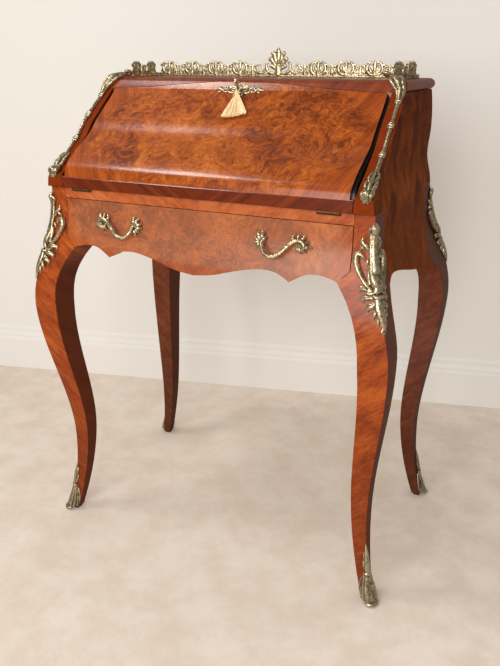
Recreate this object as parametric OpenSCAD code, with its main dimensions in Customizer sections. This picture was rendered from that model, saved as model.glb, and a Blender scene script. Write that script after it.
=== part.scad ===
// Lady's writing desk with a sloping fall front, one long apron drawer and four cabriole legs.
// Origin: on the floor, midway between the four feet. +X right, +Y to the back, +Z up. Millimetres.

/* [Case] */
// Height of the writing surface and of the hinge line of the fall
writing_h = 717; // [700:1:730]
// Height of the underside of the top board over the writing surface
case_rise = 168; // [160:1:178]
// Half width between the posts and between the upper sides
inner_x = 276; // [262:1:286]
// Half width over the posts at the waist
waist_x = 309; // [303:1:320]
// Half width over the upper sides at their narrow place
upper_x = 299; // [297:1:303]
// How far the upper sides swell out between there and the top
side_swell = 3; // [1:1:6]
// Distance from the middle to the front faces of posts, rail and drawer
front_y = 203; // [196:1:206]
// Distance from the middle to the outer face of the upper back
back_y = 160; // [150:1:166]
// Thickness of the back panel
back_t = 14; // [10:1:16]
// Thickness of the side aprons between the posts
apron_t = 18; // [14:1:20]
// Depth of a front post, from its face to its back
post_d = 53; // [48:1:58]
// How far the upper sides stay below the belly of the fall
cheek_drop = 10; // [6:1:12]
// How far the nose of the slope stands out over the front
nose_out = 9; // [7:1:10]
// Height of the nose moulding
nose_h = 20; // [16:1:24]

/* [Legs] */
// Height of the ankle, the thinnest place of a leg
ankle_h = 185; // [165:1:205]
// Depth of the knee seen from the front, below the writing surface
knee_x_drop = 237; // [217:1:257]
// Depth of the knee seen from the side, below the writing surface
knee_y_drop = 197; // [187:1:217]
// Depth of the waist, where the knee has run out, below the writing surface
waist_drop = 35; // [22:1:47]
// Depth of the ear that carries the drawer's lower corner, below the writing surface
ear_drop = 108; // [102:1:117]
// How far a knee stands out sideways
knee_x_out = 44; // [34:1:50]
// How far a knee stands out forwards
knee_y_out = 31; // [24:1:34]
// How far an ankle stands out sideways
ankle_x_out = 14.5; // [8:0.5:20]
// How far an ankle is drawn in from the front
ankle_y_in = 16; // [10:0.5:20]
// How far a foot stands out sideways
foot_x_out = 37; // [30:0.5:42]
// How far a foot is drawn in from the front
foot_y_in = 3; // [0:0.5:6]
// Thickness of a leg at the floor
foot_t = 18; // [17:0.5:22]
// Thickness of a leg at its thinnest
ankle_t = 22; // [20:0.5:26]
// Thickness of a leg at the knee
knee_t = 51; // [46:0.5:56]
// How much deeper than wide a leg is at the knee
leg_deep = 4; // [0:1:6]
// Thickness of the glide under each foot
glide_t = 5; // [3:0.5:8]

/* [Top board] */
// Thickness of the top board
top_t = 19; // [16:1:24]
// How far the top board stands out over the back
top_out = 5; // [3:1:8]
// How far the top board's ends stand in from the waist
top_in = 8; // [6:1:10]

/* [Fall front] */
// Distance from the fall's inner face out to the front edge of the top board
fall_edge_t = 23.576; // [22:0.001:25]
// Rise of the fall's top edge from its ends to its middle
fall_bow = 16; // [10:1:17]
// Width of the dark rebate down the fall's side edges
rebate_w = 6; // [4:0.5:8]
// Depth of that rebate
rebate_d = 6; // [4:0.5:8]
// Radius of the fall's top corners
fall_corner_r = 14; // [8:1:18]
// Swell of the fall's side edges in their middle
fall_swell = 2.5; // [0:0.5:4]
// Play between the fall and the pieces around it
fall_gap = 1; // [0.6:0.1:1.4]
// Thickness of the writing leathers
leather_t = 1.2; // [0.8:0.1:2]
// Margin from the leather to the edge of the fall
leather_margin = 34; // [28:1:45]

/* [Fall hardware] */
// Outer radius of the hinge knuckles
knuckle_r = 4; // [3.5:0.1:4.4]
// Radius of the hinge pins
hinge_pin_r = 1.5; // [1.2:0.1:1.8]
// Length of each hinge along its pin
hinge_len = 38; // [30:1:46]
// Distance from the middle to the middle of each hinge
hinge_x = 236; // [215:1:240]
// Thickness of the hinge leaves
leaf_t = 2; // [1.6:0.1:2.6]
// Length of the hinge leaves away from the pin
leaf_len = 26; // [20:1:32]
// Distance from the hinge line to the pivots of the stays
stay_reach = 100; // [88:1:106]
// Height of the stay pivots over the writing surface when the fall is open
stay_lift = 9; // [8:0.5:11]
// Width of a stay bar
stay_w = 10; // [8:0.5:12]
// Thickness of a stay bar
stay_t = 2.4; // [2:0.1:2.8]
// Radius of the stay pivots
stay_pin_r = 2; // [1.6:0.1:2.4]

/* [Lock, key and tassel] */
// Width of the lock case
lock_w = 58; // [48:1:70]
// Length of the lock case down the fall
lock_len = 36; // [32:1:44]
// Thickness of the lock case
lock_t = 10; // [9:0.5:12]
// Travel of the lock bolt
bolt_travel = 8; // [6:0.5:9]
// Distance from the fall's top edge to the key
key_down = 19; // [17:0.5:21]
// Radius of the key's shank
key_r = 2.5; // [2:0.1:2.8]
// Length of the key outside the escutcheon
key_out = 27; // [26:1:30]
// Diameter of the tassel's cord
tassel_cord_d = 1.8; // [1.4:0.1:2]
// Width of the tassel's skirt at its hem
skirt_w = 48; // [38:1:54]
// Length of the tassel's skirt
skirt_len = 50; // [40:1:54]
// Sideways lean of the tassel where it lies on the slope
tassel_turn = 13; // [0:1:16]

/* [Drawer] */
// Play around the drawer front
drawer_gap = 1; // [0.6:0.1:1.5]
// Height of the drawer front's top edge below the writing surface
rail_h = 18; // [16:1:22]
// Depth of the lowest point of the drawer's apron, below the writing surface
apron_drop = 127; // [123:1:133]
// Half width over the drawer's sides
drawer_x = 258; // [246:1:259]
// Thickness of the drawer's sides and back
drawer_t = 9; // [7:0.5:11]
// Length of the drawer behind its front
drawer_len = 296; // [250:1:300]
// Height of the drawer's sides
drawer_side_h = 62; // [50:1:64]
// Distance from the middle to the outer rosette of each handle
handle_out_x = 188; // [182:1:194]
// Distance from the middle to the inner rosette of each handle
handle_in_x = 125; // [118:1:132]
// Depth of the handles' rosettes, below the writing surface
handle_drop = 57; // [53:1:63]
// Distance from the drawer front to the handle's bail
handle_reach = 13; // [11:1:16]

/* [Interior] */
// Distance from the middle to the front of the pigeonholes
nest_front = 15; // [8:1:16]
// Half width of the pigeonholes
nest_x = 261; // [245:1:261]
// Height of the pigeonholes over the writing surface
nest_h = 130; // [115:1:131]
// Height of the tier of small drawers
small_h = 46; // [38:1:52]
// Thickness of the boards of the pigeonholes
nest_t = 5; // [4:0.5:7]
// Play around the small drawers
small_gap = 0.7; // [0.5:0.1:1]
// Half width of the middle small drawer's compartment
small_mid_x = 87; // [70:1:110]

/* [Gilt mounts] */
// Distance from the top board's ends to the gallery
gallery_in = 22; // [18:1:26]
// Distance from the top board's back edge to the gallery
gallery_back_in = 35; // [30:1:40]
// How far the gallery's ends turn in towards the front, in degrees
gallery_turn = 7; // [4:0.5:9]
// Height of the gallery
gallery_h = 31; // [26:1:36]
// Height of the shell in the middle of the gallery
finial_h = 54; // [46:1:60]
// Thickness of the gallery's castings
gallery_t = 3; // [2:0.5:4]
// Spacing of the palmettes along the back of the gallery
palmette_pitch = 55; // [48:1:64]
// Thickness of the mounts on knees and slope
mount_t = 4; // [3:0.5:5]
// Depth of the knee mounts' tops, below the writing surface
knee_mount_top_drop = 11; // [7:1:21]
// Depth of the knee mounts' tips, below the writing surface
knee_mount_tip_drop = 175; // [167:1:187]
// Height of the sabots' tips
sabot_h = 108; // [90:1:125]
// Radius of the small scroll at each toe
toe_r = 8; // [7:0.5:9]
// Width of the slope mounts
slope_mount_w = 12; // [9:0.5:14]

/* [Hidden] */
$fn = 48;

wood = "saddlebrown";
gilt = "gold";
brass = "goldenrod";
steel = "slategray";
// Overshoot of a cut beyond the face that it opens
cut = 1;
// Steps along each rounded stretch of an outline
steps = 7;

// Smooth rise from 0 to 1
function ease(t) = t * t * (3 - 2 * t);
function mix(a, b, t) = a + (b - a) * t;
// Points from height a to height b, in n steps, each height given to the lines below
function rows(a, b, n) = [for (i = [0:n]) mix(a, b, i / n)];
// Point on the rounded line through b and c, with neighbours a and d
function bend(a, b, c, d, t) = b + ((c - a) * t + (2 * a - 5 * b + 4 * c - d) * t * t
    + (3 * b - a - 3 * c + d) * t * t * t) / 2;
// Rounded line through a list of points
function rounded(p) = concat([for (i = [0:len(p) - 2], k = [0:steps - 1])
    bend(p[max(i - 1, 0)], p[i], p[i + 1], p[min(i + 2, len(p) - 1)], k / steps)],
    [p[len(p) - 1]]);
function mirrored(p) = concat(p, [for (i = [len(p) - 1:-1:0]) [-p[i][0], p[i][1]]]);
function unit(v) = v / norm(v);
// The line p moved sideways by d
function beside(p, d) = [for (i = [0:len(p) - 1])
    let (v = unit(p[min(i + 1, len(p) - 1)] - p[max(i - 1, 0)])) p[i] + d * [-v[1], v[0]]];
function reversed(p) = [for (i = [len(p) - 1:-1:0]) p[i]];

// Heights that keep their distance from the writing surface
case_h = writing_h + case_rise;
knee_x_h = writing_h - knee_x_drop;
knee_y_h = writing_h - knee_y_drop;
waist_h = writing_h - waist_drop;
ear_h = writing_h - ear_drop;
apron_low = writing_h - apron_drop;
handle_h = writing_h - handle_drop;
knee_mount_top = writing_h - knee_mount_top_drop;
knee_mount_tip = writing_h - knee_mount_tip_drop;

// Outer lines of the legs and of what is flush with them, by height
foot_x = waist_x + foot_x_out;
ankle_x = waist_x + ankle_x_out;
knee_x = waist_x + knee_x_out;
foot_y = front_y - foot_y_in;
ankle_y = front_y - ankle_y_in;
knee_y = front_y + knee_y_out;
function swell(z, foot, ankle, knee, waist, knee_h, top_h) =
    z < ankle_h ? ankle + (foot - ankle) * pow(1 - z / ankle_h, 2)
    : z < knee_h ? mix(ankle, knee, ease((z - ankle_h) / (knee_h - ankle_h)))
    : z < top_h ? mix(knee, waist, ease((z - knee_h) / (top_h - knee_h))) : waist;
// Outer line of the upper sides: in from the waist, out to the swell and in to the top board
function upper(f) = f < 0.33 ? mix(waist_x, upper_x, ease(f / 0.33))
    : f < 0.62 ? mix(upper_x, upper_x + side_swell, ease((f - 0.33) / 0.29))
    : mix(upper_x + side_swell, top_x - 4, pow((f - 0.62) / 0.38, 2));
function out_x(z) = z < writing_h ? swell(z, foot_x, ankle_x, knee_x, waist_x, knee_x_h, waist_h)
    : upper((z - writing_h) / (case_h - writing_h));
function out_front(z) = swell(z, foot_y, ankle_y, knee_y, front_y, knee_y_h, waist_h);
function out_back(z) = swell(z, foot_y, ankle_y, knee_y, back_y, knee_y_h, writing_h + rail_h);

// Inner lines of the legs
thin_h = ankle_h / 3;
function leg_t(z) = z < thin_h ? mix(foot_t, ankle_t, z / thin_h)
    : mix(ankle_t, knee_t, (z - thin_h) / (knee_x_h - thin_h));
function leg_depth(z) = leg_t(z) + leg_deep * max(0, z - thin_h) / (knee_y_h - thin_h);
ear_in = 19;
ear_x = inner_x - ear_in;
ear_rise = 20;
function in_x(z) = z < knee_x_h ? out_x(z) - leg_t(z)
    : mix(knee_x - knee_t, ear_x, pow((z - knee_x_h) / (ear_h - knee_x_h), 2.4));
front_post_y = front_y - post_d;
back_post_d = 40;
back_post_y = back_y - back_post_d;
front_ear_drop = 9;
front_ear_h = ear_h - front_ear_drop;
back_ear_drop = 37;
back_ear_h = ear_h - back_ear_drop;
function in_y(z, post, ear) = z < knee_y_h ? out_front(z) - leg_depth(z)
    : mix(knee_y - leg_depth(knee_y_h), post, pow((z - knee_y_h) / (ear - knee_y_h), 2));

leg_rows = 40;
leg_heights = rows(glide_t, writing_h, leg_rows);
inner_heights = reversed(rows(glide_t, ear_h - 4, 28));
leg_front_view = concat([for (z = leg_heights) [out_x(z), z]],
    [[inner_x, writing_h], [inner_x, ear_h + ear_rise], [ear_x, ear_h]],
    [for (z = inner_heights) [in_x(z), z]]);
function leg_side_view(back) = let (post = back ? back_post_y : front_post_y,
    ear = back ? back_ear_h : front_ear_h) concat(
    [for (z = leg_heights) [back ? out_back(z) : out_front(z), z]],
    [[post, writing_h], [post, ear]],
    [for (z = reversed(rows(glide_t, ear - 4, 28))) [in_y(z, post, ear), z]]);

// The slope: nose, shoulder, hollow and straight top, seen from the right, then the top's nose
nose_y = front_y + nose_out;
nose_low = writing_h + 2;
nose_top = writing_h + nose_h + 1;
slope_top_y = 38;
slope_shape = [[0.009, 0.02], [0.05, 0.129], [0.184, 0.259], [0.316, 0.354], [0.489, 0.476],
    [0.611, 0.612], [0.741, 0.741], [0.879, 0.872], [1, 1]];
function slope_point(f) = [mix(-nose_y, -slope_top_y, f[0]), mix(nose_top, case_h, f[1])];
slope_line = rounded([for (f = slope_shape) slope_point(f)]);
// Slope of the upper sides: the same line, but without the belly of its lower half
slope_last = len(slope_line) - 1;
sunk_line = beside(slope_line, -cheek_drop);
cheek_line = [for (i = [0:slope_last]) let (f = i / slope_last)
    mix(slope_line[i], sunk_line[i], ease(min(1, f / 0.1)) * ease(min(1, max(0, (0.6 - f) / 0.35))))];
nose_line = [[-nose_y, nose_low], [-nose_y, nose_top - 1], [-nose_y + 1, nose_top]];
top_z = case_h + top_t;
top_nose = rounded([slope_point([1, 1]), [-slope_top_y + 5, mix(case_h, top_z, 0.42)],
    [-slope_top_y + 11, mix(case_h, top_z, 0.8)], [-slope_top_y + 22, top_z]]);
top_nose_rest = [for (i = [1:len(top_nose) - 1]) top_nose[i]];
outer_line = concat(slope_line, top_nose_rest);
cheek_side = concat(nose_line, cheek_line, top_nose_rest);

// The fall's own place: hinge line, then s up the inner face and t outwards
hinge_y = -(nose_y - knuckle_r);
fall_run = -slope_top_y - hinge_y;
fall_slope = acos(fall_edge_t / norm([case_rise, fall_run])) - atan2(fall_run, case_rise);
function from_hinge(p) = p - [hinge_y, writing_h];
function fall_s(p) = let (q = from_hinge(p)) q[0] * cos(fall_slope) + q[1] * sin(fall_slope);
function fall_t(p) = let (q = from_hinge(p)) q[1] * cos(fall_slope) - q[0] * sin(fall_slope);
fall_x = inner_x - fall_gap;
function fall_half(s) = fall_x + fall_swell * sin(180 * s / fall_end_s);
fall_end_s = fall_s(slope_point([1, 1]));
fall_mid_s = fall_end_s + fall_bow;
function fall_edge_s(x) = fall_end_s + fall_bow * (1 + cos(180 * min(1, abs(x) / (fall_x - 12)))) / 2;

// Turns the (y, z) outline seen from the right into a board of width w about the middle
module across(w) {
    rotate([90, 0, 90]) linear_extrude(w, center = true) children();
}
// Turns the (x, z) outline seen from the front into a prism from y0 back to y1
module through(y0, y1) {
    translate([0, y1, 0]) rotate([90, 0, 0]) linear_extrude(y1 - y0) children();
}
// Turns the (y, z) outline into a prism from x0 to x1
module along(x0, x1) {
    translate([x0, 0, 0]) rotate([90, 0, 90]) linear_extrude(x1 - x0) children();
}
// Puts a shape drawn at the hinge line, with y up the inner face, on the shut fall
module on_fall() {
    translate([0, hinge_y, writing_h]) rotate([fall_slope, 0, 0]) children();
}
module box(low, high) {
    translate(low) cube(high - low);
}
// A shape drawn for the front right corner, put at any corner
module corner(left, back) {
    mirror([left ? 1 : 0, 0, 0]) mirror([0, back ? 0 : 1, 0]) children();
}
module both_sides() {
    children();
    mirror([1, 0, 0]) children();
}

// Long enough for a cut or an outline to pass right through any piece
reach = writing_h;
module leg(left, back) {
    color(wood) corner(left, back) intersection() {
        through(0, reach) polygon(leg_front_view);
        along(0, reach) polygon(leg_side_view(back));
    }
}
module foot_glides() {
    color("dimgray") for (left = [false, true], back = [false, true]) corner(left, back)
        box([foot_x - foot_t + 2, foot_y - foot_t + 2, 0], [foot_x - 2, foot_y - 2, glide_t]);
}

// Sides: an upper cheek with the slope as its front edge, and an apron between the posts
side_rows = rows(writing_h, case_h, 20);
apron_rows = rows(back_ear_h - 10, writing_h, 20);
// Lower edge of a side apron, from the front post down to the back post
side_arch = rounded([for (p = [[0, 1], [0.08, 1.32], [0.22, 1.21], [0.56, 0.45], [0.81, 0.14], [1, 0]])
    [mix(-front_post_y, back_post_y, p[0]), mix(back_ear_h, front_ear_h, p[1])]]);
back_rise = 13;
module side(left) {
    cheek = concat(nose_line, cheek_line, [for (z = reversed(side_rows)) [out_back(z), z]],
        [[-front_y, writing_h]]);
    color(wood) mirror([left ? 1 : 0, 0, 0]) union() {
        difference() {
            intersection() {
                through(-reach, reach) polygon(concat([[inner_x, case_h], [inner_x, writing_h]],
                    [for (z = side_rows) [out_x(z), z]]));
                along(0, reach) polygon(cheek);
            }
            on_fall() translate([0, 0, -shut_gap]) linear_extrude(reach) polygon(concat(
                [[inner_x - cut, fall_end_s], [inner_x - cut, 0]],
                [for (s = fall_rows) [fall_half(s) + fall_gap, s]]));
        }
        difference() {
            through(-front_post_y, back_post_y) polygon(concat([for (z = apron_rows) [out_x(z), z]],
                [for (z = reversed(apron_rows)) [out_x(z) - apron_t, z]]));
            along(0, reach) polygon(concat(side_arch, [[reach, back_ear_h], [reach, 0], [-reach, 0],
                [-reach, front_ear_h]]));
        }
    }
}
back_rows = rows(back_ear_h - 10, case_h, 30);
module back_panel() {
    half = concat([[inner_x, case_h], [inner_x, ear_h + ear_rise], [ear_x, ear_h]],
        [for (z = inner_heights) if (z > back_ear_h + back_rise / 2) [in_x(z), z]],
        [for (i = [16:-1:0]) [i / 16 * inner_x, back_ear_h + back_rise * cos(i / 16 * 90)]]);
    color(wood) intersection() {
        across(3 * inner_x) polygon(concat([for (z = back_rows) [out_back(z), z]],
            [for (z = reversed(back_rows)) [out_back(z) - back_t, z]]));
        through(0, reach) polygon(mirrored(half));
    }
}

// Top board, rounded at its ends and back, its front carrying the slope on
top_x = waist_x - top_in;
top_back = back_y + top_out;
function round_end(x, low, high) = let (r = (high - low) / 2, m = (low + high) / 2)
    [for (i = [0:8]) [x - r + r * cos(90 - i * 22.5), m + r * sin(90 - i * 22.5)]];
fall_rows = rows(0, fall_end_s - fall_corner_r, 12);
// Outline of the fall in its own plane, wider all round by grow
module fall_outline(grow) {
    r = fall_corner_r;
    mid = [fall_half(fall_end_s - r) - r, fall_end_s - r];
    polygon(mirrored(concat([[fall_x + grow, -reach]], [for (s = fall_rows) [fall_half(s) + grow, s]],
        [for (turn = [15:15:90]) mid + (r + grow) * [cos(turn), sin(turn)]],
        [for (i = [19:-1:1]) let (x = i / 20 * mid[0]) [x, fall_edge_s(x) + grow]])));
}
// The shut fall rests this far in front of the lip of the lock rail
shut_gap = 0.3;
module fall_space() {
    on_fall() translate([0, 0, -shut_gap]) linear_extrude(reach) fall_outline(fall_gap);
}
module top_board() {
    color(wood) difference() {
        intersection() {
            through(-reach, reach) polygon(mirrored(round_end(top_x, case_h, top_z)));
            across(3 * reach) polygon(concat(top_nose, round_end(top_back, case_h, top_z)));
        }
        fall_space();
        keeper_recess();
    }
}
lock_rail_h = 35;
rail_low = case_h - lock_rail_h;
rail_back = 12;
module lock_rail() {
    color(wood) difference() {
        across(2 * inner_x) polygon([[-slope_top_y, case_h], [-slope_top_y, rail_low],
            [rail_back, rail_low], [rail_back, case_h]]);
        fall_space();
        keeper_recess();
    }
}

// Fixed writing board, front rail, runners and leather
board_back = back_y - back_t;
rail_depth = 26;
rule_r = knuckle_r + 1;
module rule_cut() {
    translate([0, hinge_y, writing_h]) rotate([0, 90, 0])
        cylinder(r = rule_r, h = 3 * inner_x, center = true);
}
module writing_board() {
    color(wood) difference() {
        box([-inner_x, -front_y + rail_depth, writing_h - rail_h], [inner_x, board_back, writing_h]);
        box([-leather_x, leather_front, writing_h - leather_t], [leather_x, leather_back, writing_h + cut]);
        for (x = [-hinge_x, hinge_x]) translate([x, 0, 0]) leaf_recess();
    }
}
module front_rail() {
    color(wood) difference() {
        box([-inner_x, -front_y, writing_h - rail_h], [inner_x, -front_y + rail_depth, writing_h]);
        rule_cut();
        for (x = [-hinge_x, hinge_x]) translate([x, 0, 0]) leaf_recess();
    }
}
leather_x = inner_x - leather_margin;
leather_front = -front_y + leather_margin;
leather_back = -nest_front - 8;
module writing_leather() {
    color("darkolivegreen") box([-leather_x, leather_front, writing_h - leather_t],
        [leather_x, leather_back, writing_h]);
}
drawer_low = ear_h + ear_rise;
runner_t = 11;
runner_gap = 0.4;
runner_in = 22;
runner_out = 16;
guide_h = 20;
guide_out = 10;
module drawer_runners() {
    color("burlywood") both_sides() {
        box([drawer_x - runner_in, -front_post_y, drawer_low - runner_gap - runner_t],
            [inner_x + runner_out, back_post_y, drawer_low - runner_gap]);
        box([drawer_x + drawer_gap, -front_post_y, drawer_low - runner_gap],
            [inner_x + guide_out, back_post_y, drawer_low + guide_h]);
    }
}

// Nest of pigeonholes over three small drawers, standing on the writing board
nest_low = writing_h;
nest_top = writing_h + nest_h;
shelf_z = nest_low + nest_t + small_h;
hole_count = 4;
module nest_board(x) {
    box([x - nest_t / 2, -nest_front, nest_low], [x + nest_t / 2, board_back, shelf_z]);
}
module pigeonholes() {
    color("peru") union() {
        box([-nest_x, -nest_front, nest_low], [nest_x, board_back, nest_low + nest_t]);
        box([-nest_x, -nest_front, shelf_z], [nest_x, board_back, shelf_z + nest_t]);
        box([-nest_x, -nest_front, nest_top - nest_t], [nest_x, board_back, nest_top]);
        both_sides() box([nest_x - nest_t, -nest_front, nest_low], [nest_x, board_back, nest_top]);
        both_sides() nest_board(small_mid_x + nest_t / 2);
        for (i = [1:hole_count - 1]) translate([(i / hole_count - 0.5) * 2 * (nest_x - nest_t), 0, 0])
            box([-nest_t / 2, -nest_front + 8, shelf_z], [nest_t / 2, board_back, nest_top]);
    }
}
small_x = [[-nest_x + nest_t, -small_mid_x - nest_t], [-small_mid_x, small_mid_x],
    [small_mid_x + nest_t, nest_x - nest_t]];
small_t = 4;
module small_drawer(i) {
    low = [small_x[i][0] + small_gap, -nest_front, nest_low + nest_t + small_gap / 2];
    high = [small_x[i][1] - small_gap, board_back - small_gap, shelf_z - small_gap];
    mid = (low[0] + high[0]) / 2;
    color("sienna") difference() {
        box(low, high);
        box(low + [small_t, 2 * small_t, small_t], [high[0] - small_t, high[1] - small_t, high[2] + cut]);
        translate([mid, low[1] + small_t * 2 + cut, (low[2] + high[2]) / 2]) rotate([90, 0, 0])
            cylinder(r = knob_pin_r, h = 3 * small_t + cut);
    }
}
knob_r = 6;
knob_pin_r = 1.5;
// Outline of a knob from its seat out, as shares of its radius
knob_line = [[0.67, 0], [0.58, 0.33], [0.37, 0.67], [0.4, 1.17], [0.83, 1.5], [1, 2], [0.83, 2.5],
    [0, 2.75]];
module small_knob(i) {
    mid = (small_x[i][0] + small_x[i][1]) / 2;
    z = nest_low + nest_t + small_h / 2 - small_gap / 4;
    color(brass) translate([mid, -nest_front, z]) rotate([90, 0, 0]) rotate_extrude()
        polygon(concat([[0, -2 * small_t], [knob_pin_r, -2 * small_t], [knob_pin_r, 0]],
        knob_r * knob_line));
}

// Fall: shaped outside, flat inside, with a leather, hinges, stays and lock
fall_side = concat(nose_line, outer_line);
// What the rebate takes off the outer face, along both sides and dying out in the top corners
module fall_rebate() {
    intersection() {
        across(3 * inner_x) polygon(concat(beside(outer_line, -rebate_d),
            [[0, reach + top_z], [-reach, reach + top_z], [-reach, nose_top]]));
        on_fall() linear_extrude(reach) difference() {
            square([3 * inner_x, 3 * fall_mid_s], center = true);
            translate([0, rebate_w]) fall_outline(-rebate_w);
        }
    }
}
module fall_panel() {
    inner_low = [hinge_y + 2 / tan(fall_slope), nose_low];
    far = [hinge_y + reach * cos(fall_slope), writing_h + reach * sin(fall_slope)];
    color(wood) difference() {
        intersection() {
            across(2 * fall_x) polygon(concat([inner_low], fall_side, [far]));
            on_fall() translate([0, 0, -cut]) linear_extrude(reach) fall_outline(0);
        }
        rule_cut_at_hinges();
        fall_rebate();
        on_fall() {
            box([-leather_x, leather_margin, -cut], [leather_x, fall_end_s - leather_margin, leather_t]);
            for (x = [-hinge_x, hinge_x]) translate([x, 0, 0]) fall_leaf_recess();
            box([-lock_w / 2, fall_mid_s - lock_len, -cut], [lock_w / 2, fall_mid_s + cut, lock_t]);
            translate([0, key_s, 0]) cylinder(r = key_hole_r, h = reach);
            both_sides() lug_plate(-cut);
        }
    }
}
module fall_leather() {
    color("darkolivegreen") on_fall()
        box([-leather_x, leather_margin, 0], [leather_x, fall_end_s - leather_margin, leather_t]);
}

// Hinges: three knuckles on one line, the outer two on the case, the middle one on the fall
knuckle_len = hinge_len / 3;
leaf_play = 0.2;
pin_play = 0.05;
module knuckle(x0, x1) {
    translate([x0, 0, 0]) rotate([0, 90, 0]) difference() {
        cylinder(r = knuckle_r, h = x1 - x0);
        translate([0, 0, -cut]) cylinder(r = hinge_pin_r + pin_play, h = x1 - x0 + 2 * cut);
    }
}
module leaf_recess() {
    box([-hinge_len / 2, hinge_y, writing_h - leaf_t],
        [hinge_len / 2, hinge_y + leaf_len, writing_h + cut]);
    translate([-hinge_len / 2 - leaf_play, hinge_y, writing_h]) rotate([0, 90, 0])
        cylinder(r = rule_r, h = hinge_len + 2 * leaf_play);
}
module fall_leaf_recess() {
    box([-hinge_len / 2, 0, -cut], [hinge_len / 2, leaf_len, leaf_t]);
}
module rule_cut_at_hinges() {
    for (x = [-hinge_x, hinge_x]) translate([x - hinge_len / 2 - leaf_play, hinge_y, writing_h])
        rotate([0, 90, 0]) cylinder(r = rule_r, h = hinge_len + 2 * leaf_play);
}
module case_hinge_leaves() {
    color(brass) for (x = [-hinge_x, hinge_x]) translate([x, hinge_y, writing_h]) {
        knuckle(-hinge_len / 2, -knuckle_len / 2 - leaf_play);
        knuckle(knuckle_len / 2 + leaf_play, hinge_len / 2);
        difference() {
            box([-hinge_len / 2, knuckle_r * 0.8, -leaf_t], [hinge_len / 2, leaf_len, 0]);
            box([-knuckle_len / 2 - leaf_play, 0, -leaf_t - cut],
                [knuckle_len / 2 + leaf_play, rule_r, cut]);
            rotate([0, 90, 0]) cylinder(r = hinge_pin_r + pin_play, h = reach, center = true);
        }
    }
}
module fall_hinge_leaves() {
    color(brass) on_fall() for (x = [-hinge_x, hinge_x]) translate([x, 0, 0]) union() {
        knuckle(-knuckle_len / 2, knuckle_len / 2);
        box([-hinge_len / 2, rule_r, 0], [hinge_len / 2, leaf_len, leaf_t]);
        box([-knuckle_len / 2, knuckle_r * 0.8, 0], [knuckle_len / 2, rule_r + cut, leaf_t]);
    }
}
module hinge_pins() {
    color(steel) for (x = [-hinge_x, hinge_x]) translate([x - hinge_len / 2, hinge_y, writing_h])
        rotate([0, 90, 0]) cylinder(r = hinge_pin_r, h = hinge_len);
}

// Folding stays: an arm on the case and a link on the fall, of one length and as long as the
// distance from the hinge line to each pivot, so the four centres always form a rhombus
stay_r = norm([stay_reach, stay_lift]);
case_pivot = [hinge_y + stay_reach, writing_h + stay_lift];
fall_pivot = [hinge_y + stay_reach * cos(fall_slope) + stay_lift * sin(fall_slope),
    writing_h + stay_reach * sin(fall_slope) - stay_lift * cos(fall_slope)];
elbow = case_pivot + fall_pivot - [hinge_y, writing_h];
stay_play = 0.3;
arm_x = inner_x - stay_play * 3 - stay_t;
link_x = arm_x - stay_play - stay_t;
lug_x = link_x - stay_play - stay_t;
module pin_at(p, x0, x1, r) {
    translate([x0, p[0], p[1]]) rotate([0, 90, 0]) cylinder(r = r, h = x1 - x0);
}
// Flat bar between two pivots, in the plane from x0 to x0 + stay_t
module stay_bar(a, b, x0) {
    turn = atan2(b[1] - a[1], b[0] - a[0]);
    pin_at(a, x0, x0 + stay_t, stay_w / 2);
    pin_at(b, x0, x0 + stay_t, stay_w / 2);
    translate([x0, a[0], a[1]]) rotate([turn, 0, 0])
        box([0, 0, -stay_w / 2 * 0.8], [stay_t, norm(b - a), stay_w / 2 * 0.8]);
}
hole_play = 0.08;
// Gap between a mount and the surface that it is pinned to
seat_gap = 0.1;
module stay_arm() {
    color(brass) union() {
        difference() {
            stay_bar(case_pivot, elbow, arm_x);
            pin_at(case_pivot, arm_x - cut, arm_x + stay_t + cut, stay_pin_r + hole_play);
        }
        pin_at(elbow, link_x - stay_play, arm_x + stay_t, stay_pin_r);
        pin_at(elbow, link_x - stay_play - 1, link_x - stay_play, stay_pin_r + 1);
    }
}
module stay_link() {
    color(brass) difference() {
        stay_bar(fall_pivot, elbow, link_x);
        pin_at(fall_pivot, link_x - cut, link_x + stay_t + cut, stay_pin_r + hole_play);
        pin_at(elbow, link_x - cut, link_x + stay_t + cut, stay_pin_r + hole_play);
    }
}
module stay_posts() {
    color(steel) both_sides() {
        pin_at(case_pivot, arm_x, inner_x, stay_pin_r);
        pin_at(case_pivot, arm_x + stay_t + stay_play, inner_x, stay_pin_r + 2);
    }
}
lug_len = 26;
module lug_plate(low) {
    box([lug_x - 12, stay_reach - lug_len / 2, low], [lug_x + stay_t, stay_reach + lug_len / 2, leaf_t]);
}
module stay_lugs() {
    color(brass) on_fall() both_sides() {
        union() {
            lug_plate(0);
            box([lug_x, stay_reach - stay_w / 2, -stay_lift], [lug_x + stay_t, stay_reach + stay_w / 2, 0]);
            translate([lug_x, stay_reach, -stay_lift]) rotate([0, 90, 0]) {
                cylinder(r = stay_w / 2, h = stay_t);
                cylinder(r = stay_pin_r, h = 2 * stay_t + stay_play);
            }
        }
    }
}

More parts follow.
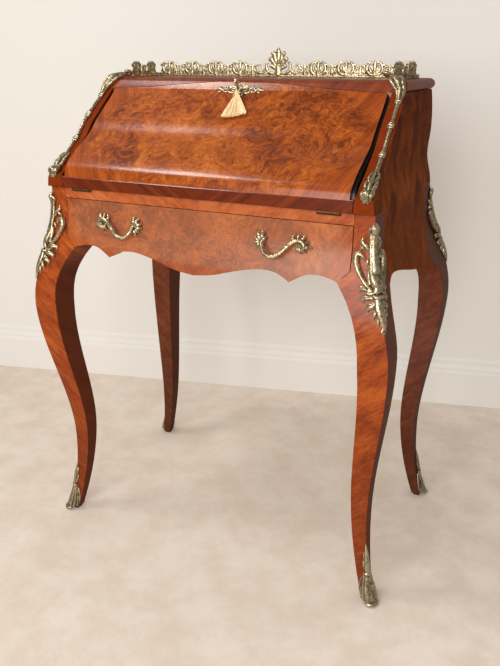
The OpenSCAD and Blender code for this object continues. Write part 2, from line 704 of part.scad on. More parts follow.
// Lock in the fall's top edge: case, bolt, keeper and key
key_s = fall_mid_s - key_down;
key_hole_r = key_r + 1;
lock_wall = 1.4;
bolt_w = 18;
bolt_t = lock_t - 2 * lock_wall - 1.2;
bolt_len = 14;
bolt_play = 0.3;
module lock_case() {
    color(brass) on_fall() difference() {
        box([-lock_w / 2, fall_mid_s - lock_len, 0], [lock_w / 2, fall_mid_s - 0.2, lock_t]);
        box([-lock_w / 2 + lock_wall, fall_mid_s - lock_len + lock_wall, lock_wall],
            [lock_w / 2 - lock_wall, fall_mid_s - 0.2 - 2 * lock_wall, lock_t - lock_wall]);
        box([-bolt_w / 2 - bolt_play, fall_mid_s - lock_len / 2, lock_wall + 0.3],
            [bolt_w / 2 + bolt_play, fall_mid_s + cut, lock_t - lock_wall - 0.3]);
        translate([0, key_s, lock_t / 2]) cylinder(r = key_hole_r, h = lock_t);
    }
}
module bolt_block(lift, play) {
    box([-bolt_w / 2 - play, fall_mid_s - bolt_len + lift, lock_wall + 0.6 - play],
        [bolt_w / 2 + play, fall_mid_s - 0.4 + lift, lock_wall + 0.6 + bolt_t + play]);
}
module lock_bolt() {
    color(steel) on_fall() bolt_block(0, 0);
}
keeper_w = 44;
keeper_t = 1.6;
keeper_room = 1.5;
keeper_play = 0.6;
module keeper_plate(grow) {
    box([-keeper_w / 2, fall_mid_s + fall_gap, lock_wall - 1 - grow],
        [keeper_w / 2, fall_mid_s + fall_gap + keeper_t + grow, lock_t + grow]);
}
module keeper_recess() {
    on_fall() {
        box([-keeper_w / 2, fall_mid_s - fall_bow, lock_wall - 1],
            [keeper_w / 2, fall_mid_s + fall_gap + keeper_t, lock_t]);
        bolt_block(bolt_travel + keeper_room, keeper_play);
    }
}
module lock_keeper() {
    color(brass) on_fall() difference() {
        keeper_plate(0);
        bolt_block(bolt_travel + keeper_room, keeper_play);
    }
}
// The key stands square to the fall's inner face
key_t = lookup(key_s, [for (p = outer_line) [fall_s(p), fall_t(p)]]);
key_low = lock_t - lock_wall - bolt_t / 2;
bow_r = 7;
bow_t = 2.6;
module key() {
    color(steel) on_fall() translate([0, key_s, 0]) difference() {
        union() {
            translate([0, 0, key_low]) cylinder(r = key_r, h = key_t + key_out - key_low - bow_r);
            translate([0, 0, key_t + key_out - bow_r]) rotate([0, 90, 0])
                cylinder(r = bow_r, h = bow_t, center = true);
            translate([0, 0, key_t + escutcheon_t + collar_gap])
                cylinder(r = key_r + collar_out, h = collar_t);
            box([-bit_t / 2, -key_bit, key_low], [bit_t / 2, 0, key_low + bit_h]);
        }
        for (turn = [0, 120, 240]) translate([0, 0, key_t + key_out - bow_r]) rotate([turn, 0, 0])
            translate([0, 0, bow_r * 0.52]) rotate([0, 90, 0])
            cylinder(r = bow_hole_r, h = 3 * bow_t, center = true);
    }
}
key_bit = 7;
bit_t = 2;
bit_h = 1.6;
collar_gap = 1;
collar_out = 1.2;
collar_t = 1.5;
bow_hole_r = 1.7;
escutcheon_t = 2;
escutcheon_w = 98;
loop_r = 7;
module escutcheon() {
    color(gilt) intersection() {
        across(escutcheon_w) polygon(concat(outer_line, reversed(beside(outer_line, escutcheon_t))));
        through(-reach, reach) translate([0, escutcheon_z]) difference() {
            union() {
                for (side = [-1, 1]) {
                    translate([side * escutcheon_w * 0.2, 0]) circle(r = loop_r);
                    translate([side * escutcheon_w * 0.33, -loop_r * 0.14]) circle(r = loop_r * 0.8);
                    translate([side * escutcheon_w * 0.44, loop_r * 0.3]) circle(r = loop_r * 0.7);
                }
                square([escutcheon_w * 0.88, loop_r * 0.7], center = true);
                circle(r = loop_r * 1.3);
                translate([0, -loop_r * 1.15]) circle(r = loop_r * 0.57);
            }
            for (side = [-1, 1]) translate([side * escutcheon_w * 0.2, 0]) circle(r = loop_r * 0.46);
        }
        on_fall() difference() {
            linear_extrude(reach) square([2 * reach, 2 * (fall_mid_s - 0.5)], center = true);
            translate([0, key_s, 0]) cylinder(r = key_hole_r, h = reach + cut);
        }
    }
}
escutcheon_z = writing_h + key_s * sin(fall_slope) + key_t * cos(fall_slope);

// Tassel looped over the key and lying down the slope
head_down = 11;
head_len = 9;
head_r = 4.5;
tassel_gap = 0.8;
tassel_t = key_t + escutcheon_t + head_r + tassel_gap;
// Middle line of the cord: x across, y down the slope from the key, z outwards
cord_path = [[1.4, 11, 0], [1.6, 8, 0], [2.8, 5, 0], [4.2, 2, 0], [4.3, -1, 0], [2.8, -3.4, 0],
    [0, -4.5, 0.6], [-2.8, -3.4, 0], [-4.3, -1, 0], [-4.2, 2, 0], [-2.8, 5, 0], [-1.6, 8, 0],
    [-1.4, 11, 0]];
cord_sides = 8;
function cross_at(i) = unit(cord_path[min(i + 1, len(cord_path) - 1)] - cord_path[max(i - 1, 0)]);
function ring_at(i) = let (v = i == 0 || i == len(cord_path) - 1 ? [0, i == 0 ? -1 : 1, 0] : cross_at(i),
    a = unit(cross([0, 0, 1], v)), b = cross(v, a))
    [for (k = [0:cord_sides - 1]) cord_path[i] + tassel_cord_d / 2
    * (cos(k * 360 / cord_sides) * a + sin(k * 360 / cord_sides) * b)];
module tassel_place() {
    on_fall() translate([0, key_s, tassel_t]) rotate(180 + tassel_turn) children();
}
module tassel_cord() {
    n = len(cord_path);
    m = cord_sides;
    walls = [for (i = [0:n - 2], k = [0:m - 1], half = [0, 1]) half == 0
        ? [i * m + k, (i + 1) * m + k, (i + 1) * m + (k + 1) % m]
        : [i * m + k, (i + 1) * m + (k + 1) % m, i * m + (k + 1) % m]];
    first = [for (k = [1:m - 2]) [0, k, k + 1]];
    last = [for (k = [1:m - 2]) [(n - 1) * m, (n - 1) * m + k + 1, (n - 1) * m + k]];
    color("khaki") tassel_place() polyhedron(points = [for (i = [0:n - 1], p = ring_at(i)) p],
        faces = concat(walls, first, last));
}
module tassel_head() {
    color("khaki") tassel_place() translate([0, head_down, 0]) rotate([-90, 0, 0]) rotate_extrude()
        polygon([[0, 0], [head_r * 0.7, 0], [head_r, head_len * 0.3], [head_r, head_len * 0.55],
        [head_r * 0.62, head_len * 0.8], [head_r * 0.8, head_len], [0, head_len]]);
}
fold_count = 9;
fold_t = 2.6;
fold_deep = 0.9;
module tassel_skirt() {
    low = head_down + head_len;
    color("khaki") tassel_place() translate([0, low, 0]) intersection() {
        translate([0, 0, -head_r]) linear_extrude(2 * head_r) polygon(mirrored(concat(
            [[head_r * 0.8, 0]], rounded([[head_r, 2], [skirt_w * 0.22, skirt_len * 0.3],
            [skirt_w * 0.38, skirt_len * 0.7], [skirt_w / 2, skirt_len]]), [[0, skirt_len]])));
        rotate([-90, 0, 0]) linear_extrude(skirt_len) polygon(concat(
            [for (i = [0:4 * fold_count]) [(i / (4 * fold_count) - 0.5) * skirt_w * 1.02,
            fold_t + fold_deep * cos(i * 90)]],
            [for (i = [4 * fold_count:-1:0]) [(i / (4 * fold_count) - 0.5) * skirt_w * 1.02,
            -fold_t - fold_deep * cos(i * 90)]]));
    }
}

// Drawer: shaped front flush with the posts, box, bottom, handles
front_t = 21;
front_back_y = front_y - front_t;
drawer_top = writing_h - rail_h - drawer_gap;
front_rows = rows(apron_low - 4, drawer_top, 16);
// Point of the apron's lower edge, across as a share of the ear's place, up as a share of its depth
function apron_point(p) = [ear_x * p[0], ear_h + (ear_h - apron_low) * p[1]];
apron_half = concat(
    [[inner_x - drawer_gap, drawer_top], [inner_x - drawer_gap, drawer_low + 0.4],
    [ear_x - 0.7 * drawer_gap, ear_h + 0.7 * drawer_gap]],
    rounded([for (p = [[0.977, 0.16], [0.891, 0.42], [0.798, 0.32], [0.712, -0.26], [0.689, -0.47]])
        apron_point(p)]),
    rounded([for (p = [[0.665, -0.26], [0.58, 0.21], [0.463, 0.26], [0.307, -0.16], [0.144, -0.75],
        [0, -1]]) apron_point(p)]));
pin_r = 2.5;
bolt_out = 6;
nut_r = 5.5;
nut_t = 3.5;
module handle_bolts(y0, y1, r) {
    for (x = [handle_in_x, handle_out_x]) translate([x, y1, handle_h]) rotate([90, 0, 0])
        cylinder(r = r, h = y1 - y0);
}
// Room that the drawer front takes up, seen from the side, with a play in front of it
module front_board(play) {
    across(2 * inner_x) polygon(concat([for (z = front_rows) [-out_front(z) - play, z]],
        [[-front_back_y, drawer_top], [-front_back_y, apron_low - 4]]));
}
module drawer_front() {
    color(wood) difference() {
        intersection() {
            through(-reach, reach) polygon(mirrored(apron_half));
            front_board(0);
        }
        both_sides() handle_bolts(-reach, 0, pin_r);
    }
}
box_back = -front_back_y + drawer_len;
bottom_t = 5;
module drawer_box() {
    high = drawer_low + drawer_side_h;
    color("burlywood") difference() {
        box([-drawer_x, -front_back_y, drawer_low], [drawer_x, box_back, high]);
        box([-drawer_x + drawer_t, -front_back_y - cut, drawer_low - cut],
            [drawer_x - drawer_t, box_back - drawer_t, high + cut]);
    }
}
module drawer_bottom() {
    color("tan") box([-drawer_x + drawer_t, -front_back_y, drawer_low + 1],
        [drawer_x - drawer_t, box_back - drawer_t, drawer_low + 1 + bottom_t]);
}
rosette_r = 11;
rosette_t = 6;
bail_t = 7;
bail_y = front_y + handle_reach;
bail_drop = 20;
boss_out = 1;
bail_r = 3.4;
bail_line = rounded([for (p = [[0, 0], [0.05, -0.7], [0.24, -1], [0.48, -0.9], [0.65, -0.65],
    [0.84, -0.15], [1, 0]]) [mix(handle_in_x, handle_out_x, p[0]), handle_h + bail_drop * p[1]]]);
// Round seat of a handle, its stem and the boss at the bail's end
module rosette() {
    cylinder(r = rosette_r, h = rosette_t);
    cylinder(r = rosette_r * 0.45, h = handle_reach + bail_t);
    translate([0, 0, handle_reach - boss_out]) cylinder(r = rosette_r * 0.64, h = bail_t + 2 * boss_out);
}
module handle(left) {
    color(gilt) mirror([left ? 1 : 0, 0, 0]) union() {
        difference() {
            union() {
                through(-bail_y - bail_t, -bail_y) polygon(concat(beside(bail_line, bail_r),
                    reversed(beside(bail_line, -bail_r))));
                for (x = [handle_in_x, handle_out_x])
                    translate([x, -front_y, handle_h]) rotate([90, 0, 0]) rosette();
            }
            front_board(seat_gap);
        }
        handle_bolts(-front_y - rosette_t, -front_back_y + bolt_out, pin_r - bolt_play);
    }
}
module handle_nuts() {
    color(steel) both_sides() difference() {
        handle_bolts(-front_back_y, -front_back_y + nut_t, nut_r);
        handle_bolts(-reach, 0, pin_r);
    }
}

// Skin of thickness t round the outer corner of a leg, between two lines of half width by height
module corner_skin(z0, z1, n, back, widths, t) {
    zs = rows(z0, z1, n);
    intersection() {
        through(0, reach) polygon(concat([for (z = zs) [out_x(z) + t, z]],
            [for (i = [n:-1:0]) [out_x(zs[i]) - widths[i], zs[i]]]));
        along(0, reach) polygon(concat([for (z = zs) [out_y(z, back) + t, z]],
            [for (i = [n:-1:0]) [out_y(zs[i], back) - widths[i], zs[i]]]));
    }
}
function out_y(z, back) = back ? out_back(z) : out_front(z);
mount_rows = 26;
knee_mount_wide = 29;
// Share of a knee mount's height where its crown starts to close
crown_start = 0.86;
// Width of a knee mount on each face, from its tip to its crown
function knee_mount_w(f) = max(0.4, knee_mount_wide * pow(sin(min(90, f * 130)), 0.8)
    * (f > crown_start ? 1 - (f - crown_start) * 4.5 : 1));
// Width of a sabot on each face, from the floor to its tip
function sabot_w(f) = max(0.4, (foot_t - 1) * (f < 0.25 ? 1 : 1 - ease((f - 0.25) / 0.75)));
module knee_mount(left, back) {
    color(gilt) corner(left, back) difference() {
        corner_skin(knee_mount_tip, knee_mount_top, mount_rows, back,
            [for (i = [0:mount_rows]) knee_mount_w(i / mount_rows)], mount_t);
        leg_core(back);
    }
}
module leg_core(back) {
    zs = rows(glide_t, writing_h, leg_rows);
    intersection() {
        through(0, reach) polygon(concat([for (z = zs) [out_x(z), z]], [[0, writing_h], [0, glide_t]]));
        along(0, reach) polygon(concat([for (z = zs) [back ? out_back(z) : out_front(z), z]],
            [[0, writing_h], [0, glide_t]]));
    }
}
sabot_low = glide_t;
toe_out = toe_r * 0.85;
module sabot(left, back) {
    color(gilt) corner(left, back) difference() {
        union() {
            corner_skin(sabot_low, sabot_h, mount_rows, back,
                [for (i = [0:mount_rows]) sabot_w(i / mount_rows)], mount_t * 0.7);
            translate([foot_x + toe_out, foot_y + toe_out, sabot_low + toe_r]) sphere(r = toe_r);
            translate([foot_x - toe_r, foot_y - toe_r, sabot_low + toe_r]) rotate([0, 90, 45])
                cylinder(r = toe_r * 0.7, h = (toe_out + toe_r) * sqrt(2));
        }
        leg_core(back);
    }
}
// Band on the slope's front edge, from the nose to the gallery
top_scroll_r = 9;
module slope_mount(left) {
    mid_x = inner_x + fall_swell + slope_mount_w;
    band = concat([for (i = [2:slope_last]) cheek_line[i]], top_nose_rest);
    ball = slope_point([0, 0.03]);
    color(gilt) mirror([left ? 1 : 0, 0, 0]) difference() {
        union() {
            along(mid_x - slope_mount_w / 2, mid_x + slope_mount_w / 2) polygon(concat(band,
                reversed(beside(band, mount_t))));
            translate([mid_x, ball[0], ball[1]]) sphere(r = slope_mount_w * 0.85);
            translate([mid_x, -slope_top_y + 3.1 * top_scroll_r, top_z]) rotate([0, 90, 0])
                cylinder(r = top_scroll_r, h = slope_mount_w * 0.6, center = true);
        }
        along(0, reach) polygon(concat(beside(cheek_side, seat_gap), [[reach, top_z + seat_gap],
            [reach, writing_h - rail_h], [-nose_y, writing_h - rail_h]]));
    }
}

// Gallery: a low rail with scrolls and palmettes, on the back and both ends of the top board
gallery_x = top_x - gallery_in;
gallery_y = top_back - gallery_back_in;
gallery_front = -4;
gallery_rail_h = 4;
scroll_w = 2.6;
scroll_sunk = 1;
module palmette(h) {
    for (turn = [-50, -25, 0, 25, 50]) translate([0, h * 0.34]) rotate(turn)
        translate([0, h * (0.48 - abs(turn) * 0.0022)]) circle(r = h * 0.15, $fn = 20);
    translate([0, h * 0.42]) circle(r = h * 0.3, $fn = 24);
    translate([0, h * 0.2]) square([h * 0.22, h * 0.4], center = true);
}
// Ring, open at its lower outer side
module scroll(r, w) {
    difference() {
        circle(r = r, $fn = 32);
        circle(r = r - w, $fn = 32);
        translate([0, -r - 1]) square([r * 1.2, r * 0.9]);
    }
}
// Rail with palmettes, each between two scrolls and stretched to its share of the length
module gallery_run(length, count) {
    pitch = length / count;
    drawn = gallery_h * 1.8;
    translate([-length / 2, 0]) square([length, gallery_rail_h]);
    for (i = [0:count - 1]) translate([-length / 2 + pitch * (i + 0.5), gallery_rail_h - scroll_sunk])
        scale([pitch / drawn, 1]) {
            palmette(gallery_h - gallery_rail_h + scroll_sunk);
            both_sides() translate([drawn * 0.3, gallery_h * 0.26]) scroll(gallery_h * 0.27, scroll_w);
        }
}
module gallery_back() {
    count = 2 * floor((gallery_x - gallery_t) / palmette_pitch);
    color(gilt) through(gallery_y - gallery_t, gallery_y) translate([0, top_z]) {
        gallery_run(2 * gallery_x, count);
        translate([0, 1]) palmette(finial_h - 1);
        for (side = [0, 1]) mirror([side, 0]) translate([finial_h * 0.3, finial_h * 0.3])
            scroll(finial_h / 6, gallery_t);
    }
}
module gallery_end(left) {
    length = gallery_y - gallery_t - gallery_front;
    color(gilt) mirror([left ? 1 : 0, 0, 0])
        translate([gallery_x, gallery_y - gallery_t * (1 + sin(gallery_turn)), 0])
        rotate(-gallery_turn) along(-gallery_t, 0) translate([-length / 2, top_z])
        gallery_run(length, round(length / palmette_pitch));
}

leg(true, false);  // leg_front_left
leg(false, false);  // leg_front_right
leg(true, true);  // leg_back_left
leg(false, true);  // leg_back_right
side(true);  // side_left
side(false);  // side_right
back_panel();
top_board();
lock_rail();
writing_board();
front_rail();
drawer_runners();
writing_leather();
pigeonholes();
foot_glides();
gallery_back();
gallery_end(true);  // gallery_left
gallery_end(false);  // gallery_right
slope_mount(true);  // slope_mount_left
slope_mount(false);  // slope_mount_right
knee_mount(true, false);  // knee_mount_front_left
knee_mount(false, false);  // knee_mount_front_right
knee_mount(true, true);  // knee_mount_back_left
knee_mount(false, true);  // knee_mount_back_right
sabot(true, false);  // sabot_front_left
sabot(false, false);  // sabot_front_right
sabot(true, true);  // sabot_back_left
sabot(false, true);  // sabot_back_right
case_hinge_leaves();
lock_keeper();
stay_posts();
fall_panel();
fall_leather();
fall_hinge_leaves();
hinge_pins();
escutcheon();
lock_case();
stay_lugs();
mirror([1, 0, 0]) stay_arm();  // stay_arm_left
stay_arm();  // stay_arm_right
mirror([1, 0, 0]) stay_link();  // stay_link_left
stay_link();  // stay_link_right
lock_bolt();
key();
tassel_cord();
tassel_head();
tassel_skirt();
drawer_front();
drawer_box();
drawer_bottom();
handle(true);  // handle_left
handle(false);  // handle_right
handle_nuts();
small_drawer(0);  // small_drawer_left
small_drawer(1);  // small_drawer_middle
small_drawer(2);  // small_drawer_right
small_knob(0);  // small_knob_left
small_knob(1);  // small_knob_middle
small_knob(2);  // small_knob_right
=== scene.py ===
# %% [markdown]
# # A lady's writing desk with a sloping fall front
#
# The exact solids of the desk come from the CAD model. Here they get their veneers, polish and
# gilt mounts, cell by cell. Everything is in metres: X to the right, Y to the back, Z up, and the
# floor is at z = 0.

import random
from math import cos, hypot, pi, radians, sin, sqrt

import bpy
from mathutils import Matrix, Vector


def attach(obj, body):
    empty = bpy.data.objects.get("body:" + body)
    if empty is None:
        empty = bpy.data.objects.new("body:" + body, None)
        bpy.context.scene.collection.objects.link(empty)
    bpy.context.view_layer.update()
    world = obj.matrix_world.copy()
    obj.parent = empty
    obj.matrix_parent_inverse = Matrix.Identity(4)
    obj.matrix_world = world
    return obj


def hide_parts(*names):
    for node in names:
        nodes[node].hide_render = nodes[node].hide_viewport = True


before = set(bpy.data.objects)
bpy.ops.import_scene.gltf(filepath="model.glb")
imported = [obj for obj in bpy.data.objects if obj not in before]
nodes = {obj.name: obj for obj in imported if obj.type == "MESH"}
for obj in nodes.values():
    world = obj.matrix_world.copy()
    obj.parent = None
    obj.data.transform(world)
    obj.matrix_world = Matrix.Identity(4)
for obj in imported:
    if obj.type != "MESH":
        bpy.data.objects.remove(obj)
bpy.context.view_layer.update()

# %% [markdown]
# ## The camera
#
# The photographer stood a little to the right of the desk and looked down on it. The lens and the
# place were worked out from the corners of the desk, so the camera is made first and everything
# else is judged through it.

# %% camera
sight = bpy.data.cameras.new("sight")
sight.lens = 38.15
camera = bpy.data.objects.new("camera", sight)
camera.location = (0.598, -1.227, 0.935)
camera.rotation_euler = (radians(90 - 21.16), 0, radians(25.94))
bpy.context.scene.collection.objects.link(camera)
bpy.context.scene.camera = camera
print("camera at", tuple(round(v, 3) for v in camera.location))

# %% [markdown]
# ## Small helpers for modelling
#
# An operator acts on whatever is selected, so each helper first deselects everything. The shapes
# below are drawn in millimetres, as a maker would, and turned into metres in one place.

# %% helpers
MM = 0.001


def only(*things):
    """Selects these objects alone and makes the first one active."""
    bpy.ops.object.select_all(action="DESELECT")
    for thing in things:
        thing.select_set(True)
    bpy.context.view_layer.objects.active = things[0]


def refine(thing, kind, **settings):
    """Adds a modifier with these settings and applies it."""
    only(thing)
    modifier = thing.modifiers.new(kind.lower(), kind)
    for key, value in settings.items():
        setattr(modifier, key, value)
    bpy.ops.object.modifier_apply(modifier=modifier.name)


def placed(name, data):
    """Puts new data into the scene as an object."""
    thing = bpy.data.objects.new(name, data)
    bpy.context.scene.collection.objects.link(thing)
    return thing


def round_curve(name, radius, rounding):
    """An empty curve that will be a round rod, closed at its ends."""
    curve = bpy.data.curves.new(name, "CURVE")
    curve.dimensions = "3D"
    curve.bevel_depth = radius
    curve.bevel_resolution = rounding
    curve.use_fill_caps = True
    return curve


def rods(name, runs, radius, rounding):
    """Rods along these runs of points, as one curve."""
    curve = round_curve(name, radius, rounding)
    for points in runs:
        spline = curve.splines.new("POLY")
        spline.points.add(len(points) - 1)
        for spot, place in zip(spline.points, points):
            spot.co = (*place, 1)
    return placed(name, curve)


def ease(t):
    """Goes from 0 to 1 with a soft start and a soft end."""
    return t * t * (3 - 2 * t)


def mix(a, b, t):
    """Point between a and b, this far along."""
    return a + (b - a) * t


# %% [markdown]
# ## The outer lines of the desk
#
# The mounts lie on the legs and on the slope, so the script needs the same lines that the CAD
# model was drawn from: how far the outer faces stand out at each height.

# %% outer lines, millimetres
WRITING_H = 717
TOP_Z = 904
KNEE_X_H = 480
KNEE_Y_H = 520
WAIST_H = 682
BACK_WAIST_H = 735
ANKLE_H = 185
NOSE_TOP = 738.5


def swell(z, foot, ankle, knee, waist, knee_h, top_h):
    """How far a face stands out at this height: foot, thin ankle, full knee, waist."""
    if z < ANKLE_H:
        return ankle + (foot - ankle) * (1 - z / ANKLE_H) ** 2
    if z < knee_h:
        return mix(ankle, knee, ease((z - ANKLE_H) / (knee_h - ANKLE_H)))
    return mix(knee, waist, ease((z - knee_h) / (top_h - knee_h))) if z < top_h else waist


def out_x(z):
    return swell(z, foot=346, ankle=323.5, knee=353, waist=309, knee_h=KNEE_X_H, top_h=WAIST_H)


def out_front(z):
    return swell(z, foot=200, ankle=187, knee=234, waist=203, knee_h=KNEE_Y_H, top_h=WAIST_H)


def out_back(z):
    return swell(z, foot=200, ankle=187, knee=234, waist=160, knee_h=KNEE_Y_H, top_h=BACK_WAIST_H)


HINGE_Y = -208
HINGE = Vector((0, HINGE_Y * MM, WRITING_H * MM))
SLOPE = radians(39)
UP_FALL = Vector((0, cos(SLOPE), sin(SLOPE)))
OFF_FALL = Vector((0, -sin(SLOPE), cos(SLOPE)))


def on_fall(x, s, t):
    """Point of the shut fall: x across, s up its inner face from the hinge line, t outwards."""
    return HINGE + Vector((x * MM, 0, 0)) + UP_FALL * (s * MM) + OFF_FALL * (t * MM)


print("waist", out_x(700), "knee", out_x(KNEE_X_H), "foot", out_x(0))

# %% [markdown]
# ## The tassel's cord
#
# A silk loop hangs over the key and carries the tassel. It is a real free cord, 1.8 mm thick, so
# it is made first, as one open curve along the same route as its solid in the CAD model.

# %% tassel cord
KEY_S = 234.84
TASSEL_T = 30.711
LEAN = radians(13)
CORD_THICK = 1.8


def by_tassel(x, y, z):
    """Point of the tassel: x across, y down the slope from the key, z outwards, millimetres."""
    across = -cos(LEAN) * x + sin(LEAN) * y
    up = -sin(LEAN) * x - cos(LEAN) * y
    return on_fall(across, KEY_S + up, TASSEL_T + z)


one_side = [(1.4, 11, 0), (1.6, 8, 0), (2.8, 5, 0), (4.2, 2, 0), (4.3, -1, 0), (2.8, -3.4, 0)]
other_side = [(-x, y, z) for x, y, z in reversed(one_side)]
cord_points = [by_tassel(*p) for p in one_side + [(0, -4.5, 0.6)] + other_side]
tassel_cord = rods("silk_cord", [cord_points], CORD_THICK / 2 * MM, rounding=4)
cord_length = sum((b - a).length for a, b in zip(cord_points, cord_points[1:]))
print("cord length", round(cord_length, 4))

# %% [markdown]
# ## Writing shader sums as sums
#
# A finish is a net of nodes. This small class wraps one output of a node, so that sums on it can
# be written as Python sums, and each sum adds its Math node.

# %% shader helpers
def tint(colour):
    """Makes a colour as it is seen, 0 to 255, linear for the shader; a tone stays as it is."""
    if isinstance(colour, Tone):
        return colour
    shares = [v / 255 for v in colour]
    return tuple(((v + 0.055) / 1.055) ** 2.4 if v > 0.04 else v / 12.92 for v in shares) + (1,)


class Tone:
    """One output of a node; adding, taking away and multiplying it adds Math nodes."""

    def __init__(self, finish, socket):
        self.finish = finish
        self.socket = socket

    def math(self, operation, *others):
        return self.finish.node("Math", self, *others, operation=operation)

    def __add__(self, other):
        return self.math("ADD", other)

    __radd__ = __add__

    def __mul__(self, other):
        return self.math("MULTIPLY", other)

    def __sub__(self, other):
        return self.math("SUBTRACT", other)

    def __rsub__(self, other):
        return self.finish.node("Math", other, self, operation="SUBTRACT")

    def __truediv__(self, other):
        return self.math("DIVIDE", other)

    def __pow__(self, other):
        return self.math("POWER", other)

    def size(self):
        return self.math("ABSOLUTE")

    def most(self, other):
        return self.math("MAXIMUM", other)

    def rise(self, low, high):
        """0 below low, 1 above high, smooth between."""
        return self.finish.node("MapRange", self, low, high, interpolation_type="SMOOTHSTEP")

    def ramp(self, *stops):
        """Turns a value into a colour, by stops of (value, colour)."""
        made = self.finish.node("ValToRGB", self)
        elements = made.socket.node.color_ramp.elements
        while len(elements) < len(stops):
            elements.new(0.5)
        for element, (at, colour) in zip(elements, stops):
            element.position = at
            element.color = tint(colour)
        return made


class Finish:
    """A material with one principled shader, built from tones."""

    def __init__(self, name):
        self.material = bpy.data.materials.new(name)
        self.material.use_nodes = True
        self.tree = self.material.node_tree
        self.shader = self.tree.nodes["Principled BSDF"]
        self.place = self.node("TexCoord", out="Object")
        self.x, self.y, self.z = (self.part(self.place, i) for i in range(3))

    def plug(self, socket, value):
        """Links a tone to this socket, or sets the socket to a plain value."""
        if isinstance(value, Tone):
            self.tree.links.new(value.socket, socket)
        else:
            socket.default_value = value

    def node(self, kind, *values, out=0, sockets=None, **settings):
        """Adds a node. The values fill its first sockets, or a dictionary names the sockets."""
        made = self.tree.nodes.new("ShaderNode" + kind)
        for key, value in settings.items():
            setattr(made, key, value)
        for key, value in (sockets or dict(enumerate(values))).items():
            self.plug(made.inputs[key], value)
        return Tone(self, made.outputs[out])

    def set(self, colour, rough, relief=None, **sockets):
        """Sets or links the shader's own sockets; Coat_Weight stands for Coat Weight."""
        sockets.update(Base_Color=colour, Roughness=rough)
        if relief:
            sockets["Normal"] = relief
        for key, value in sockets.items():
            self.plug(self.shader.inputs[key.replace("_", " ")], value)
        return self.material

    def part(self, vector, index):
        return self.node("SeparateXYZ", vector, out=index)

    def sideways(self):
        """1 where the surface looks to the left or right, 0 where it looks to the front."""
        return self.part(self.node("NewGeometry", out="Normal"), 0).size()

    def spot(self, x, y, z):
        return self.node("CombineXYZ", x, y, z)

    def noise(self, where=None, scale=1.0, detail=4.0, roughness=0.55, distortion=0.0):
        """Cloudy noise; where is a place, or three tones, or nothing for the object's own place."""
        if where is None:
            where = self.place
        elif isinstance(where, tuple):
            where = self.spot(*where)
        sockets = {"Vector": where, "Scale": scale, "Detail": detail, "Roughness": roughness,
                   "Distortion": distortion}
        return self.node("TexNoise", sockets=sockets)

    def blend(self, amount, first, second):
        """Mixes two colours; amount 0 gives the first, 1 the second."""
        sockets = {0: amount, 6: tint(first), 7: tint(second)}
        return self.node("Mix", sockets=sockets, out=2, data_type="RGBA")

    def bump(self, height, distance=0.4 * MM, strength=0.3):
        sockets = {"Height": height, "Distance": distance, "Strength": strength}
        return self.node("Bump", sockets=sockets)


print("shader helpers ready")

# %% [markdown]
# ## Kingwood laid on the slant
#
# The legs, the rail and the borders are faced with straight-grained kingwood, laid so that its
# stripes slant upwards and outwards and mirror each other left and right. The grain is noise that
# is stretched along the slant: fine pores, stripes a few millimetres wide and slow bands.

# %% kingwood
BRIGHT = (188, 92, 28)
MIDDLE = (148, 61, 13)
DEEP = (90, 31, 5)


def straight_grain(finish, along, across, depth, wave=0.004):
    """Stripes, 0 dark to 1 light, and the fine pores of a straight-grained veneer."""
    sway = finish.noise((along * 5.0, across * 12.0, depth * 5.0), detail=2.0) - 0.5
    line = across + sway * wave
    bands = finish.noise((line * 60.0, along * 2.2, depth * 20.0), detail=3.0)
    stripes = finish.noise((line * 330.0, along * 6.0, depth * 90.0), roughness=0.6)
    pores = finish.noise((line * 1500.0, along * 55.0, depth * 400.0), detail=3.0)
    figure = bands * 0.55 + stripes * 0.45
    return figure, pores


def kingwood(name, bright=BRIGHT, middle=MIDDLE, deep=DEEP, slant=(0.8, 0.57), shade=0.0):
    """Slanting stripes; shade is how strong a painted shade is on the faces that look sideways, and with it
    the legs also turn darker towards the floor.
    """
    finish = Finish(name)
    side = finish.x.size()
    across = finish.z * slant[0] - side * slant[1] + finish.y * slant[1]
    along = finish.z * slant[1] + side * slant[0] - finish.y * slant[0]
    figure, pores = straight_grain(finish, along, across, finish.x)
    colour = figure.ramp((0.3, deep), (0.47, middle), (0.64, bright))
    colour = finish.blend(pores.rise(0.52, 0.68) * 0.35, colour, deep)
    cloud = finish.noise(scale=7.0, detail=2.0)
    colour = finish.blend(cloud.rise(0.4, 0.7) * 0.3, colour, middle)
    coat = 0.4
    if shade:
        # Painted shade: faces that look sideways turn dark brown and lose their coat.
        painted_side_shade = finish.sideways().rise(0.75, 0.95) * shade
        colour = finish.blend(painted_side_shade, colour, (80, 33, 9))
        coat = (1 - painted_side_shade) * coat
        # Darker towards the floor.
        colour = finish.blend(finish.z.rise(0.45, 0.1) * 0.45, colour, deep)
    rough = pores * 0.12 + cloud * 0.14 + 0.27
    return finish.set(colour, rough, finish.bump(pores + figure * 0.6, strength=0.12),
                      Coat_Weight=coat, Coat_Roughness=0.24, Specular_IOR_Level=0.2)


leg_wood = kingwood("kingwood_legs", shade=0.82)
# The back legs wear a darker copy of the kingwood: painted shade, as the desk keeps the light off them.
shaded_back_leg_wood = kingwood("kingwood_back_legs_painted_shade", (136, 70, 36), (106, 49, 24), (68, 29, 12), shade=0.8)
rail_wood = kingwood("kingwood_rail", (206, 116, 60), (178, 88, 42), (122, 50, 22))
top_wood = kingwood("kingwood_top", (150, 66, 28), (120, 48, 20), (78, 28, 12), slant=(0.2, 0.98))
print("kingwood finishes made")
